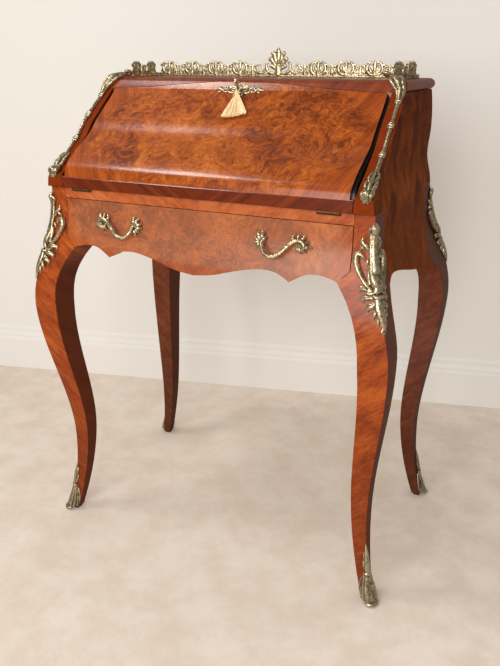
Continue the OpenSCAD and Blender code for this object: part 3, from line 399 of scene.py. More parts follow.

# %% [markdown]
# ## Dark quartered veneer of the sides
#
# The sides are a darker quartered veneer with a cloudy upright figure, mirrored at its middle joint.
# Faces that look sideways carry a painted shade that makes them almost brown-black.

# %% side veneer
def side_wood():
    finish = Finish("quartered_sides")
    fold = (finish.y + 0.02).size()
    flow = finish.noise((finish.x * 4.0, fold * 9.0, finish.z * 5.0), detail=3.0) - 0.5
    across = fold + flow * 0.06
    figure, pores = straight_grain(finish, finish.z - fold * 0.3, across, finish.x, wave=0.01)
    blot = finish.noise((finish.x, fold * 1.6, finish.z), scale=13.0, distortion=1.2)
    eyes = finish.noise((finish.x, fold, finish.z), scale=46.0, detail=5.0, roughness=0.65, distortion=1.4)
    tone = figure * 0.3 + blot * 0.4 + eyes * 0.3
    colour = tone.ramp((0.34, (42, 13, 0)), (0.47, (88, 34, 2)), (0.6, (138, 65, 14)))
    # Lighter towards the bottom.
    colour = finish.blend(finish.z.rise(0.86, 0.62) * 0.3, colour, (150, 80, 38))
    # Painted shade: faces that look to the left or right keep the dark colour, faces that look front, back
    # or up turn lighter.
    colour = finish.blend(finish.sideways().rise(0.75, 0.5) * 0.8, colour, (126, 48, 16))
    colour = finish.blend(pores.rise(0.5, 0.7) * 0.4, colour, (40, 14, 2))
    return finish.set(colour, pores * 0.12 + 0.4, finish.bump(pores, strength=0.1), Specular_IOR_Level=0.02)


side_veneer = side_wood()
print("side veneer made")

# %% [markdown]
# ## Burr walnut with a kingwood border
#
# The fall and the drawer front are the showpieces: a field of burr walnut, all swirls, dark knots
# and golden clouds, inside a shaped border of slanting kingwood. One material does both: a mask
# drawn in the panel's own measures says where the field melts into the border. The burr is noise
# bent by noise, with knots from a Voronoi pattern.

# %% burr and border
def burr_colour(finish, where, painted_sheen):
    """Mottled colour of the burr and its fine relief; the last argument is how much even pale brown is laid
    over it as a painted sheen.
    """
    pull = finish.node("TexNoise", sockets={"Vector": where, "Scale": 9.0, "Detail": 3.0}, out="Color")
    bent = finish.node("VectorMath", pull, (0.11, 0.11, 0.11), where, operation="MULTIPLY_ADD")
    cloud = finish.noise(bent, scale=8.0, detail=5.0, roughness=0.6, distortion=0.8)
    swirl = finish.noise(bent, scale=52.0, detail=6.0, roughness=0.68, distortion=1.6)
    fleck = finish.noise(bent, scale=280.0, detail=3.0, roughness=0.6)
    knots = finish.node("TexVoronoi", sockets={"Vector": bent, "Scale": 24.0, "Smoothness": 0.6},
                        feature="SMOOTH_F1")
    tone = cloud * 0.38 + swirl * 0.42 + fleck * 0.2
    colour = tone.ramp((0.35, (66, 23, 3)), (0.435, (108, 44, 8)), (0.5, (148, 67, 14)),
                       (0.57, (178, 91, 24)), (0.68, (204, 124, 52)))
    eye = knots.rise(0.3, 0.05) * cloud.rise(0.56, 0.44)
    colour = finish.blend(eye * 0.5, colour, (78, 32, 14))
    # Painted sheen: even pale brown over the burr.
    colour = finish.blend(painted_sheen, colour, (196, 132, 96))
    return colour, swirl * 0.6 + fleck * 0.4


def framed_panel(name, up, half_width, middle, half_height, slant, painted_sheen):
    """Burr field in a slanting border; up is the tone that climbs the panel."""
    finish = Finish(name)
    rise_by = up(finish)
    side = finish.x.size()
    wobble = finish.noise((finish.x * 16.0, rise_by * 16.0, 0.0)) - 0.5
    outwards = (side / half_width) ** 3.2 + ((rise_by - middle).size() / half_height) ** 3.2
    border = (outwards + wobble * 0.9).rise(0.8, 1.25)
    burr, relief = burr_colour(finish, finish.spot(finish.x, rise_by, rise_by * 0.2), painted_sheen)
    across = rise_by * slant[0] - side * slant[1]
    along = rise_by * slant[1] + side * slant[0]
    figure, pores = straight_grain(finish, along, across, finish.y * 0.1)
    banding = figure.ramp((0.3, (100, 36, 6)), (0.48, (148, 64, 14)), (0.64, (186, 94, 28)))
    banding = finish.blend(pores.rise(0.52, 0.68) * 0.3, banding, (110, 44, 18))
    colour = finish.blend(border * 0.85, burr, banding)
    return finish, colour, relief * (1 - border) + pores * border


def up_the_fall(finish):
    return (finish.y - HINGE.y) * UP_FALL.y + (finish.z - HINGE.z) * UP_FALL.z


def fall_finish():
    finish, colour, relief = framed_panel("fall_veneer", up_the_fall, half_width=0.252, middle=0.132,
                                          half_height=0.122, slant=(0.45, 0.89), painted_sheen=0.0)
    nose = finish.z.rise(NOSE_TOP * MM, (NOSE_TOP - 1) * MM)
    figure, pores = straight_grain(finish, finish.z * 0.57 + finish.x.size() * 0.8,
                                   finish.z * 0.8 - finish.x.size() * 0.57, finish.y)
    dark = figure.ramp((0.3, (68, 22, 4)), (0.5, (102, 35, 7)), (0.66, (130, 52, 14)))
    colour = finish.blend(nose, colour, dark)
    wear = finish.noise(scale=60.0, detail=3.0)
    scuffs = finish.noise((finish.x * 3.0, finish.y * 40.0, finish.z * 9.0), scale=5.0, detail=5.0)
    rough = scuffs.rise(0.5, 0.75) * 0.1 + wear * 0.12 + 0.22
    return finish.set(colour, rough, finish.bump(relief + scuffs * 0.5, strength=0.14),
                      Coat_Weight=0.4, Coat_Roughness=0.17, Specular_IOR_Level=0.25)


def drawer_finish():
    # The drawer's burr gets a painted sheen of pale brown.
    finish, colour, relief = framed_panel("drawer_veneer", lambda f: f.z, half_width=0.262, middle=0.665,
                                          half_height=0.058, slant=(0.57, 0.82), painted_sheen=0.28)
    return finish.set(colour, relief * 0.12 + 0.28, finish.bump(relief, strength=0.14),
                      Coat_Weight=0.3, Coat_Roughness=0.25, Specular_IOR_Level=0.4)


fall_veneer = fall_finish()
drawer_veneer = drawer_finish()
print("panel finishes made")

# %% [markdown]
# ## Plainer woods, leather, metals and silk
#
# Inside, the desk is plain polished wood; the drawer box is bare oak. The leathers have a fine
# pebble grain and a tooled gold line. The mounts are gilt bronze: worn bright on what stands
# proud and brown-black in the hollows, which the Pointiness of their fine mesh tells apart.

# %% other finishes
def plain_wood(name, bright, deep, gloss):
    finish = Finish(name)
    figure, pores = straight_grain(finish, finish.x, finish.z + finish.y * 0.7, finish.y)
    colour = figure.ramp((0.3, deep), (0.66, bright))
    colour = finish.blend(pores.rise(0.5, 0.68) * 0.4, colour, deep)
    rough = pores * 0.15 + 0.5 - gloss
    return finish.set(colour, rough, finish.bump(pores, strength=0.15), Coat_Weight=gloss)


def metal(name, bright, worn, hollow, rough, grain=260.0):
    finish = Finish(name)
    point = finish.node("NewGeometry", out="Pointiness")
    cloud = finish.noise(scale=90.0)
    chasing = finish.noise(scale=grain, detail=3.0, distortion=1.0)
    height = point + (cloud - 0.5) * 0.07 + (chasing - 0.5) * 0.16
    colour = height.ramp((0.462, hollow), (0.494, worn), (0.536, bright))
    rough = rough + cloud * 0.15 + height.rise(0.51, 0.46) * 0.3
    relief = finish.bump(chasing, distance=1.2 * MM, strength=0.5)
    return finish.set(colour, rough, relief, Metallic=0.84)


FALL_LEATHER_Z = 717.5
BOARD_MIDDLE, BOARD_LINE = -0.096, 0.063
FALL_MIDDLE, FALL_LINE = 0.119, 0.0749
SIDE_LINE = 0.232


def leather():
    """Green leather; gold lines are tooled at the same distance from every edge."""
    finish = Finish("writing_leather_skin")
    cells = finish.node("TexVoronoi", sockets={"Vector": finish.place, "Scale": 900.0})
    cloud = finish.noise(scale=14.0)
    colour = cloud.ramp((0.35, (58, 62, 34)), (0.65, (88, 92, 54)))
    on_the_fall = finish.z.rise(FALL_LEATHER_Z * MM, (FALL_LEATHER_Z + 1) * MM)
    board = (finish.y - BOARD_MIDDLE).size() - BOARD_LINE
    panel = (up_the_fall(finish) - FALL_MIDDLE).size() - FALL_LINE
    level = board * (1 - on_the_fall) + panel * on_the_fall
    inset = (finish.x.size() - SIDE_LINE).most(level)
    wide_line = inset.size().rise(0.0012, 0.0007)
    fine_line = (inset + 0.006).size().rise(0.0007, 0.0004)
    tooled = wide_line.most(fine_line)
    colour = finish.blend(tooled, colour, (196, 160, 84))
    rough = cloud * 0.1 + 0.46 - tooled * 0.12
    relief = finish.bump(cells - tooled * 0.5, distance=0.2 * MM, strength=0.25)
    return finish.set(colour, rough, relief, Metallic=tooled * 0.7)


def silk():
    finish = Finish("silk_thread")
    strand = finish.noise((finish.x * 1800.0, finish.y * 260.0, finish.z * 260.0), detail=3.0)
    shade = finish.noise(scale=120.0, detail=2.0)
    tone = strand * 0.6 + shade * 0.4
    colour = tone.ramp((0.3, (226, 182, 122)), (0.5, (250, 218, 166)), (0.68, (255, 242, 210)))
    relief = finish.bump(strand, distance=0.2 * MM, strength=0.35)
    return finish.set(colour, strand * 0.15 + 0.42, relief, Sheen_Weight=0.3)


def felt():
    finish = Finish("glide_felt")
    fibre = finish.noise(scale=1200.0, detail=3.0)
    colour = fibre.ramp((0.35, (34, 30, 28)), (0.65, (58, 52, 48)))
    return finish.set(colour, fibre * 0.1 + 0.8, finish.bump(fibre))


inside_wood = plain_wood("inside_veneer", (150, 84, 44), (92, 44, 22), 0.25)
oak = plain_wood("bare_oak", (206, 168, 116), (168, 124, 76), 0.02)
gilt = metal("gilt_bronze_mounts", (240, 226, 192), (164, 144, 104), (34, 25, 15), 0.22)
brass = metal("hinge_brass", (112, 80, 44), (84, 54, 28), (40, 25, 12), 0.45)
steel = metal("polished_steel", (190, 188, 184), (150, 148, 144), (84, 80, 76), 0.24, 900.0)
ebony = plain_wood("ebonised_edge", (34, 27, 24), (18, 14, 12), 0.15)
skin = leather()
thread = silk()
pad = felt()
print("finishes:", len(bpy.data.materials))

# %% [markdown]
# ## The line of the slope
#
# The slope mounts and the escutcheon lie on the curved front, so its outline is worked out again
# here: a rounded line through a few points, as (y, z) in millimetres, with its length along.

# %% slope line
NOSE_Y, NOSE_Z = -212, 738
BROW_Y, BROW_Z = -38, 885
SLOPE_SHAPE = [(0.009, 0.02), (0.05, 0.129), (0.184, 0.259), (0.316, 0.354), (0.489, 0.476), (0.611, 0.612),
               (0.741, 0.741), (0.879, 0.872), (1, 1)]
slope_points = [(mix(NOSE_Y, BROW_Y, a), mix(NOSE_Z, BROW_Z, b)) for a, b in SLOPE_SHAPE]
top_points = [(BROW_Y, BROW_Z), (-33, 892.98), (-27, 900.2)] + [(y, TOP_Z) for y in (-16, -4, 8, 20)]


def bend(a, b, c, d, t):
    """Smooth step from b to c, with a before and d after them."""
    return b + ((c - a) * t + (2 * a - 5 * b + 4 * c - d) * t * t + (3 * b - a - 3 * c + d) * t ** 3) / 2


STEPS = 7


def rounded(points):
    """A soft line through these points."""
    last = len(points) - 1
    found = []
    for i in range(last):
        four = [points[min(max(k, 0), last)] for k in (i - 1, i, i + 1, i + 2)]
        found += [tuple(bend(*(p[axis] for p in four), k / STEPS) for axis in (0, 1)) for k in range(STEPS)]
    return found + [points[-1]]


belly_line = rounded(slope_points)
top_line = rounded(top_points)[1:]
surface = []
for y, z in belly_line + top_line:
    back, up = y - HINGE_Y, z - WRITING_H
    surface.append((back * UP_FALL.y + up * UP_FALL.z, up * UP_FALL.y - back * UP_FALL.z))


def fall_face(s):
    """How far the fall's outer face stands out from the inner one, so far up."""
    for (s0, t0), (s1, t1) in zip(surface, surface[1:]):
        if s0 <= s <= s1:
            return mix(t0, t1, (s - s0) / (s1 - s0))
    return surface[0][1] if s < surface[0][0] else surface[-1][1]


CHEEK_DROP = 10
DROPS_WITHIN = 0.1
RISES_WITHIN, BELLY_END = 0.35, 0.6


def cheek_point(i):
    """Point of the upper sides' slope, which leaves out the belly of the fall."""
    f = i / (len(belly_line) - 1)
    (y0, z0), (y1, z1) = belly_line[max(i - 1, 0)], belly_line[min(i + 1, len(belly_line) - 1)]
    size = hypot(y1 - y0, z1 - z0)
    down, up = min(1, f / DROPS_WITHIN), min(1, max(0, (BELLY_END - f) / RISES_WITHIN))
    drop = CHEEK_DROP * ease(down) * ease(up)
    y, z = belly_line[i]
    return y + drop * (z1 - z0) / size, z - drop * (y1 - y0) / size


cheek_line = [cheek_point(i) for i in range(len(belly_line))] + top_line
run = [0.0]
for (y0, z0), (y1, z1) in zip(cheek_line, cheek_line[1:]):
    run.append(run[-1] + hypot(y1 - y0, z1 - z0))


def at_run(along):
    """Point (y, z) of the cheeks' line and its outward direction, so far from the nose."""
    i = min(max(sum(1 for r in run if r <= along) - 1, 0), len(run) - 2)
    t = (along - run[i]) / (run[i + 1] - run[i])
    (y0, z0), (y1, z1) = cheek_line[i], cheek_line[i + 1]
    before, after = cheek_line[max(i - 3, 0)], cheek_line[min(i + 4, len(cheek_line) - 1)]
    dy, dz = after[0] - before[0], after[1] - before[1]
    size = hypot(dy, dz)
    return mix(y0, y1, t), mix(z0, z1, t), -dz / size, dy / size


print("cheek line", round(run[-1]), "mm, face at the key", round(fall_face(KEY_S), 2), "mm")

# %% [markdown]
# ## Wood: exact boards with eased edges
#
# The boards already have the right shape. A real board's edges are never knife-sharp: polish and
# hands have rounded them, and that catches the light. So each board is a copy of its CAD solid
# with its doubles merged, flat faces joined, and a small bevel along its sharp edges.

# %% dressing the solids
def wear(thing, material):
    """Gives a thing this finish and no other."""
    thing.data.materials.clear()
    thing.data.materials.append(material)


def hand_over(thing, material, body, node):
    """Finishes a visual piece and lets it ride on its body in place of its CAD solid."""
    wear(thing, material)
    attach(thing, body)
    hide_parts(node)


def dress(name, material, body="case", edge=0.8):
    """Copies a CAD solid and eases its edges."""
    copy = nodes[name].copy()
    copy.data = nodes[name].data.copy()
    copy.name = name + "_polished"
    for key in list(copy.keys()):
        del copy[key]
    copy.parent = None
    bpy.context.scene.collection.objects.link(copy)
    only(copy)
    bpy.ops.object.mode_set(mode="EDIT")
    bpy.ops.mesh.select_all(action="SELECT")
    bpy.ops.mesh.remove_doubles(threshold=0.00002)
    bpy.ops.mesh.dissolve_limited(angle_limit=radians(0.6))
    bpy.ops.object.mode_set(mode="OBJECT")
    refine(copy, "BEVEL", width=edge * MM, segments=2, limit_method="ANGLE", angle_limit=radians(32),
           use_clamp_overlap=True, miter_outer="MITER_SHARP")
    bpy.ops.object.shade_smooth_by_angle(angle=radians(35))
    refine(copy, "WEIGHTED_NORMAL", keep_sharp=True)
    hand_over(copy, material, body, name)
    return copy


for corner in ("front_left", "front_right", "back_left", "back_right"):
    dress("leg_" + corner, shaded_back_leg_wood if "back" in corner else leg_wood, edge=1.2)
for name in ("side_left", "side_right", "back_panel"):
    dress(name, side_veneer)
dress("top_board", top_wood, edge=1.0)
dress("front_rail", rail_wood, edge=0.5)
fall = dress("fall_panel", fall_veneer, "fall", 0.5)
fall.data.materials.append(ebony)
REBATE_FROM = 262
VENEER_THICK = 0.45
for face in fall.data.polygons:
    s = (face.center - HINGE).dot(UP_FALL) / MM
    t = (face.center - HINGE).dot(OFF_FALL) / MM
    by_the_end = abs(face.center.x) > REBATE_FROM * MM and face.center.z > NOSE_TOP * MM
    if by_the_end and t < fall_face(s) - VENEER_THICK and face.normal.dot(OFF_FALL) > -0.5:
        face.material_index = 1
dress("drawer_front", drawer_veneer, "drawer", 0.7)
plain_parts = {
    inside_wood: ("writing_board", "lock_rail", "pigeonholes", "small_drawer"),
    oak: ("drawer_runners", "drawer_box", "drawer_bottom"),
    brass: ("case_hinge", "fall_hinge", "lock_keeper", "lock_case", "stay_lugs", "stay_arm", "stay_link",
            "small_knob"),
    steel: ("hinge_pins", "stay_posts", "lock_bolt", "handle_nuts"),
    skin: ("writing_leather", "fall_leather"),
    pad: ("foot_glides",),
}
for material, beginnings in plain_parts.items():
    for name in nodes:
        if name.startswith(beginnings):
            wear(nodes[name], material)
print("boards dressed")

# %% [markdown]
# ## Castings from wax
#
# Each gilt mount was first modelled in wax and then cast. The script does the same: strokes of
# wax, which are curves with a swelling thickness, are laid on a flat board, melted into one skin
# by a voxel remesh, smoothed a little, and then bent onto the wood. A stroke is written as its
# points, each (across, up, out, radius), in millimetres.

# %% wax and casting
def both(strokes):
    """The strokes and their mirror images about the middle line."""
    return strokes + [[(-u, v, w, r) for u, v, w, r in stroke] for stroke in strokes]


def shifted(strokes, across):
    return [[(u + across, v, w, r) for u, v, w, r in stroke] for stroke in strokes]


def wax(name, strokes, grain):
    """Melts strokes into one closed skin."""
    curve = round_curve(name, MM, rounding=2)
    curve.resolution_u = 6
    for stroke in strokes:
        spline = curve.splines.new("BEZIER")
        spline.bezier_points.add(len(stroke) - 1)
        for spot, (u, v, w, radius) in zip(spline.bezier_points, stroke):
            spot.co = Vector((u, v, w)) * MM
            spot.radius = radius
            spot.handle_left_type = spot.handle_right_type = "AUTO"
    only(placed(name, curve))
    bpy.ops.object.convert(target="MESH")
    thing = bpy.context.object
    refine(thing, "REMESH", mode="VOXEL", voxel_size=grain * MM)
    refine(thing, "SMOOTH", factor=0.5, iterations=2)
    return thing


def cast(thing, place, body, node):
    """Bends a wax onto its seat; place gives the seat's point for (across, up, out)."""
    mesh = thing.data
    for vertex in mesh.vertices:
        vertex.co = place(vertex.co.x / MM, vertex.co.y / MM, vertex.co.z / MM)
    only(thing)
    bpy.ops.object.mode_set(mode="EDIT")
    bpy.ops.mesh.select_all(action="SELECT")
    bpy.ops.mesh.normals_make_consistent(inside=False)
    bpy.ops.object.mode_set(mode="OBJECT")
    bpy.ops.object.shade_smooth()
    hand_over(thing, gilt, body, node)


def cast_all(pattern, seats, body="case"):
    """Casts one wax for each (name, place); each casting replaces the solid of that name."""
    for name, place in seats:
        cast(placed(name + "_gilt", pattern.data.copy()), place, body, name)
    print(pattern.name, "cast", len(seats), "times with", len(pattern.data.polygons), "faces")
    bpy.data.objects.remove(pattern)


def on_corner(left, back):
    """Seat on the outer corner of a leg: across is 0 on the corner, less than 0 on the front."""
    depth = out_back if back else out_front

    def place(u, v, w):
        spread = hypot(u, 3.0)
        lean = (1 + u / spread) / 2
        size = hypot(lean, 1 - lean)
        x = out_x(v) + (u - spread) / 2 + w * lean / size
        y = depth(v) - (u + spread) / 2 + w * (1 - lean) / size
        return Vector((-x if left else x, y if back else -y, v)) * MM

    return place


def corner_seats(kind):
    """The four legs' seats for one kind of mount."""
    return [(kind + ("back_" if back else "front_") + ("left" if left else "right"), on_corner(left, back))
            for left in (True, False) for back in (False, True)]


def side_seats(kind, seat):
    """The two seats of a pair."""
    return [(kind + "left", seat(-1)), (kind + "right", seat(1))]


print("casting helpers ready")

# %% [markdown]
# ## Knee mounts
#
# On each knee sits a pierced rococo leaf: a shell at the top, a reeded stem, a C-scroll that
# leaves an oval opening, a bossed cartouche, a fringe of acanthus and a long pointed tail.

# %% knee mounts
knee_strokes = both([
    [(0, 699, 4, 3.6), (5, 697, 4.2, 3.1), (8.4, 691, 3, 2.1)],
    [(3.8, 692, 3, 2.5), (3.5, 662, 5, 2.4), (3.6, 634, 6, 2.6)],
    [(6, 663, 3, 3), (11, 671, 4, 3.8), (17, 677, 3.4, 3.5), (15.4, 683, 1.6, 1.6)],
    [(11, 669, 3, 2.8), (17, 668, 3.4, 3), (21.4, 664, 2, 1.4)],
    [(14.6, 651, 4, 2.8), (18.6, 657.6, 5, 4), (24, 658, 5, 4.8), (27.6, 650, 5, 5.3), (26, 637, 5, 5),
     (20.4, 623, 5, 4.4), (13, 612, 5, 3.8), (7, 605, 5, 3.2)],
    [(5.6, 650, 3, 2.4), (10, 647, 4, 2.4), (12, 641, 3, 1.4)],
    [(5.6, 642, 4, 3), (8.4, 629, 5.4, 3.3), (8.6, 615, 5, 3)],
    [(7, 604, 4, 4), (17, 608, 5, 4.6), (26, 607, 3, 3.7), (29, 602, 1.8, 1.6)],
    [(7, 597, 4, 4), (16, 595, 5, 4.6), (25, 591, 3, 3.7), (26, 585.6, 1.8, 1.6)],
    [(5, 588, 4, 3.8), (13, 583, 5, 4.2), (20, 578, 3, 3.3), (20, 572.6, 1.8, 1.4)],
    [(4, 578, 4, 3.4), (9, 572, 4.6, 3.4), (13, 566, 2.4, 2.5), (12, 561, 1.4, 1.1)],
    [(3, 568, 3.4, 2.6), (6, 561, 3.4, 2.4), (7, 553, 1.4, 0.9)],
    [(3, 604, 7, 1.3), (12, 602, 8, 1.4), (21, 604, 5.6, 0.8)],
]) + [
    [(0, 706, 2, 2.2), (0, 699, 5.6, 3.9), (0, 690, 4.4, 3)],
    [(0, 690, 5, 1.8), (0, 655, 6.8, 2), (0, 632, 7.6, 2.5)],
    [(-4.4, 640, 5.4, 2.6), (-2, 622, 8, 4.3), (2.6, 606, 6, 3)],
    [(4.4, 637, 5.4, 2.6), (2.6, 620, 8, 4), (-2, 604, 6, 2.8)],
    [(-9, 600, 4, 2), (0, 598, 8, 2.8), (9, 600, 4, 2)],
    [(0, 598, 5, 4), (-1.5, 580, 6, 4.5), (0.5, 562, 5, 3.2), (0.5, 547, 3, 1.7)],
    [(0.5, 552, 3, 1.6), (-2.4, 547, 4, 1.8), (0.8, 543.5, 3, 1.2)],
]
cast_all(wax("knee_wax", knee_strokes, 0.85), corner_seats("knee_mount_"))

# %% [markdown]
# ## Sabots
#
# The feet wear bronze shoes, so that brooms and boots hit metal and not veneer: leaves climb the
# corner of the leg and the toe ends in a small scroll.

# %% sabots
sabot_strokes = both([
    [(1.6, 62, 5, 2), (2.6, 44, 7.5, 2.4), (3.6, 24, 10.4, 2.7), (3.4, 8.6, 11.4, 2.9)],
    [(3.4, 60, 4, 2), (7, 42, 6, 2.4), (9.6, 22, 8, 2.7), (9.6, 8.6, 8.4, 2.9)],
    [(5, 56, 2.6, 1.8), (10.6, 38, 3.4, 2.3), (14.6, 20, 4, 2.6), (15, 9, 4, 2.5)],
    [(7, 55, 1.5, 1.2), (13.6, 42, 2, 2), (17.2, 27, 2, 2.2), (17, 14, 1.4, 1.4)],
    [(2.4, 64, 3, 2), (5.2, 75, 3, 2.1), (4.8, 86, 1.4, 0.9)],
    [(1.8, 84, 3, 1.8), (4, 94, 2.6, 1.7), (3.4, 102, 1.2, 0.8)],
]) + [
    [(0, 58, 5, 3.2), (0, 84, 4.6, 3), (0, 104, 3, 2), (0, 117, 1.2, 0.9)],
    [(-6.5, 59, 3, 2), (0, 60.5, 6.8, 2.7), (6.5, 59, 3, 2)],
    [(0, 57, 4, 2.8), (0, 34, 6.4, 3.4), (0, 16, 9, 3.6), (0, 9, 9.6, 3.2)],
    [(-6, 6.4, 11, 3), (0, 5.4, 13.4, 3.5), (6, 6.4, 11, 3)],
]
cast_all(wax("sabot_wax", sabot_strokes, 0.8), corner_seats("sabot_"))

# %% [markdown]
# ## Slope mounts
#
# A thin cane runs down each edge of the slope, held by beaded collars, from a curling leaf where
# it meets the gallery to a fluted ball that rests on the nose.

# %% slope mounts
cane_strokes = both([
    [(2.2, 46, 2, 1.5), (2, 100, 2.4, 1.2), (2, 160, 2.4, 1.2), (2.2, 204, 2, 1.5)],
    [(2.6, -4, 3, 3.8), (6.4, 4, 6, 4.6), (6.6, 14, 5.4, 3.8), (3, 26, 3, 1.9)],
    [(2.4, 16, 3, 3), (8, 27, 4, 3.4), (7, 41, 2, 1.1)],
    [(3, 30, 3, 2.4), (7, 44, 3, 2.6), (5.4, 56, 1.8, 0.9)],
    [(2, 28, 3, 2.4), (4.8, 40, 3.2, 2.2), (3, 52, 2, 0.8)],
]) + [
    [(0, 40, 3, 2.4), (0, 100, 3.4, 1.9), (0, 160, 3.4, 1.9), (0, 206, 3.2, 2.4)],
    [(0, -8, 3, 4.6), (0, 2, 8, 6), (0, 12, 7, 4)],
    [(0, 12, 6, 3.8), (0, 28, 6, 3.6), (0, 46, 4, 2.6)],
    [(0, 204, 3, 2.6), (-1, 222, 5, 4), (-7, 238, 5.4, 4.8), (-17, 251, 5, 4.8), (-27, 261, 4.4, 4.2),
     (-32, 268, 4, 3.4)],
    [(2.6, 208, 2.4, 1.8), (4.4, 222, 4, 3.2), (1, 238, 4.6, 3.6), (-7, 252, 4.6, 3.4),
     (-18, 264, 3.6, 1.8)],
    [(-3, 208, 2.4, 1.8), (-5.4, 222, 4, 3), (-11.6, 233, 4.6, 3.4), (-21, 243, 4.4, 3),
     (-28, 251, 3.4, 1.5)],
    [(-32, 268, 4.4, 3.4), (-37, 267, 7.4, 3.4), (-38, 261, 10, 3.2), (-33, 258, 11, 2.8),
     (-29, 262, 9.6, 2.2), (-32, 265, 8.4, 1.5)],
]
for at in (91, 150, 204):
    cane_strokes += [[(-5, at + step, 2.6, r), (0, at + step, 5, r), (5, at + step, 2.6, r)]
                     for step, r in ((-4.5, 1.2), (0, 2.2), (4.5, 1.2))]
CANE_X, CANE_TOP_X = 295, 292
LEANS_FROM, LEANS_OVER = 120, 100


def on_slope(side):
    """Seat on the edge of the slope: v runs up from the nose, and straight down below 0."""
    def place(u, v, w):
        y, z, ny, nz = at_run(max(v, 0.0))
        low = min(v, 0.0)
        x = mix(CANE_X, CANE_TOP_X, ease(min(max((v - LEANS_FROM) / LEANS_OVER, 0), 1)))
        return Vector((side * (x + u), y + ny * w + low * 0.2, z + nz * w + low)) * MM

    return place


cast_all(wax("cane_wax", cane_strokes, 0.7), side_seats("slope_mount_", on_slope))

# %% [markdown]
# ## The gallery
#
# A low pierced rail keeps things from sliding off the top. One palmette in its heart and one
# small fleuron between two scrolls are drawn once and repeated along the back and down both ends;
# a fluted shell between S-scrolls marks the middle.

# %% gallery
palmette = both([
    [(1.5, 5, 0, 2.4), (9, 6.5, 0, 3), (14.2, 12.5, 0, 3.3), (13.4, 20.6, 0, 3.2), (8.6, 26, 0, 2.8),
     (4, 23.6, 0, 1.8)],
    [(0.8, 9, 0.6, 2.4), (5, 15.6, 1, 3.2), (6.6, 21.4, 0, 1.6)],
    [(0.8, 8, 0.6, 2.2), (7.4, 11, 0.8, 2.7), (10, 15.6, 0, 1.4)],
    [(14, 13, 0, 2.4), (18, 9.4, 0, 2.3), (18.8, 4, 0, 2)],
    [(13.4, 20, 0, 2.2), (17.6, 22.4, 0, 2.2), (20.6, 19, 0, 1.3)],
]) + [[(0, 8, 0.8, 3), (0, 19, 1.6, 3.9), (0, 30, 0, 1.8)], [(0, 3, 0, 3.6), (0, 9, 1, 3.4)]]
fleuron = both([
    [(0.4, 8, 0, 2), (4.6, 12, 0.4, 2.7), (7, 17, 0, 1.4)],
    [(10, 6, 0, 2.2), (7, 9.8, 0, 2.4), (4, 6.6, 0, 1.8)],
    [(9.4, 16, 0, 1.8), (6.4, 20, 0, 2), (2.4, 18, 0, 1.3)],
]) + [[(0, 4, 0, 2.5), (0, 12, 0.8, 3.2), (0, 22.6, 0, 1.5)]]
shell = both([
    [(1.4, 18, 1, 3.4), (6.4, 33, 2.8, 5.8), (11.6, 42.6, 1.4, 4.8), (13.6, 39, 0.6, 2.2)],
    [(2.6, 16, 1, 3.4), (10.6, 27, 2.6, 5.6), (17, 32.6, 1.2, 4.6), (18.6, 28.6, 0.6, 2.2)],
    [(3, 13, 1, 3.4), (10, 17.6, 2, 4.8), (15.6, 19.4, 1, 4), (16.6, 16, 0.6, 2)],
    [(3, 8, 0, 3), (11, 6, 0, 3.3), (20, 9, 0, 3.3), (25, 16, 0, 3.3), (24.4, 24.6, 0, 3), (20.4, 27, 0, 2)],
    [(25, 17, 0, 2.4), (31, 8.6, 0, 2.7), (39, 7, 0, 2.8), (45, 12, 0, 2.8), (45, 19.6, 0, 2.4),
     (40, 22.4, 0, 2), (37.6, 18.4, 0, 1.3)],
    [(31, 9, 0, 1.9), (34, 16, 0, 2.1), (33, 23, 0, 1)],
]) + [[(0, 16, 1, 4), (0, 36, 3, 6), (0, 47, 2, 5), (0, 53.4, 0.5, 2)],
      [(0, 2, 0, 5), (0, 10, 1.6, 6), (0, 18, 2, 5)]]


def rail(length):
    """The two rods that everything stands on."""
    half = length / 2
    return [[(-half, 1.8, 0, 2.6), (half, 1.8, 0, 2.6)], [(-half, 5.2, 0, 1.6), (half, 5.2, 0, 1.6)]]


GALLERY_X = 279
GALLERY_Y = 130
GALLERY_T = 3
GALLERY_FLAT = 0.62
UNITS = 10
PITCH = 2 * GALLERY_X / UNITS
back_strokes = rail(2 * GALLERY_X) + shell
for i in range(UNITS):
    spot = (i - (UNITS - 1) / 2) * PITCH
    if abs(spot) > PITCH:
        back_strokes += shifted(palmette, spot)
for i in range(1, UNITS):
    spot = (i - UNITS / 2) * PITCH
    if spot:
        back_strokes += shifted(fleuron, spot)


def on_back(u, v, w):
    return Vector((u, GALLERY_Y - GALLERY_T / 2 + w * GALLERY_FLAT, TOP_Z + v)) * MM


cast_all(wax("back_wax", back_strokes, 0.75), [("gallery_back", on_back)])
END_TURN = radians(7)
END_LENGTH = GALLERY_Y - GALLERY_T + 4
quarter = END_LENGTH / 4
end_strokes = rail(END_LENGTH) + shifted(palmette, -quarter) + shifted(palmette, quarter) + fleuron


def on_end(side):
    """Seat on an end of the top; the two ends draw together towards the front."""
    def place(u, v, w):
        along = u - END_LENGTH / 2
        out = w * GALLERY_FLAT - GALLERY_T / 2
        across = out * cos(END_TURN) + along * sin(END_TURN)
        depth = along * cos(END_TURN) - out * sin(END_TURN)
        return Vector((side * (GALLERY_X + across), GALLERY_Y - GALLERY_T + depth, TOP_Z + v)) * MM

    return place


cast_all(wax("end_wax", end_strokes, 0.75), side_seats("gallery_", on_end))

# %% [markdown]
# ## Drawer handles
#
# Two fixed handles, cast in one piece and mirror images of each other: a bail that dips in the
# middle and springs from a large leaf at its outer end and a curled one at its inner end.

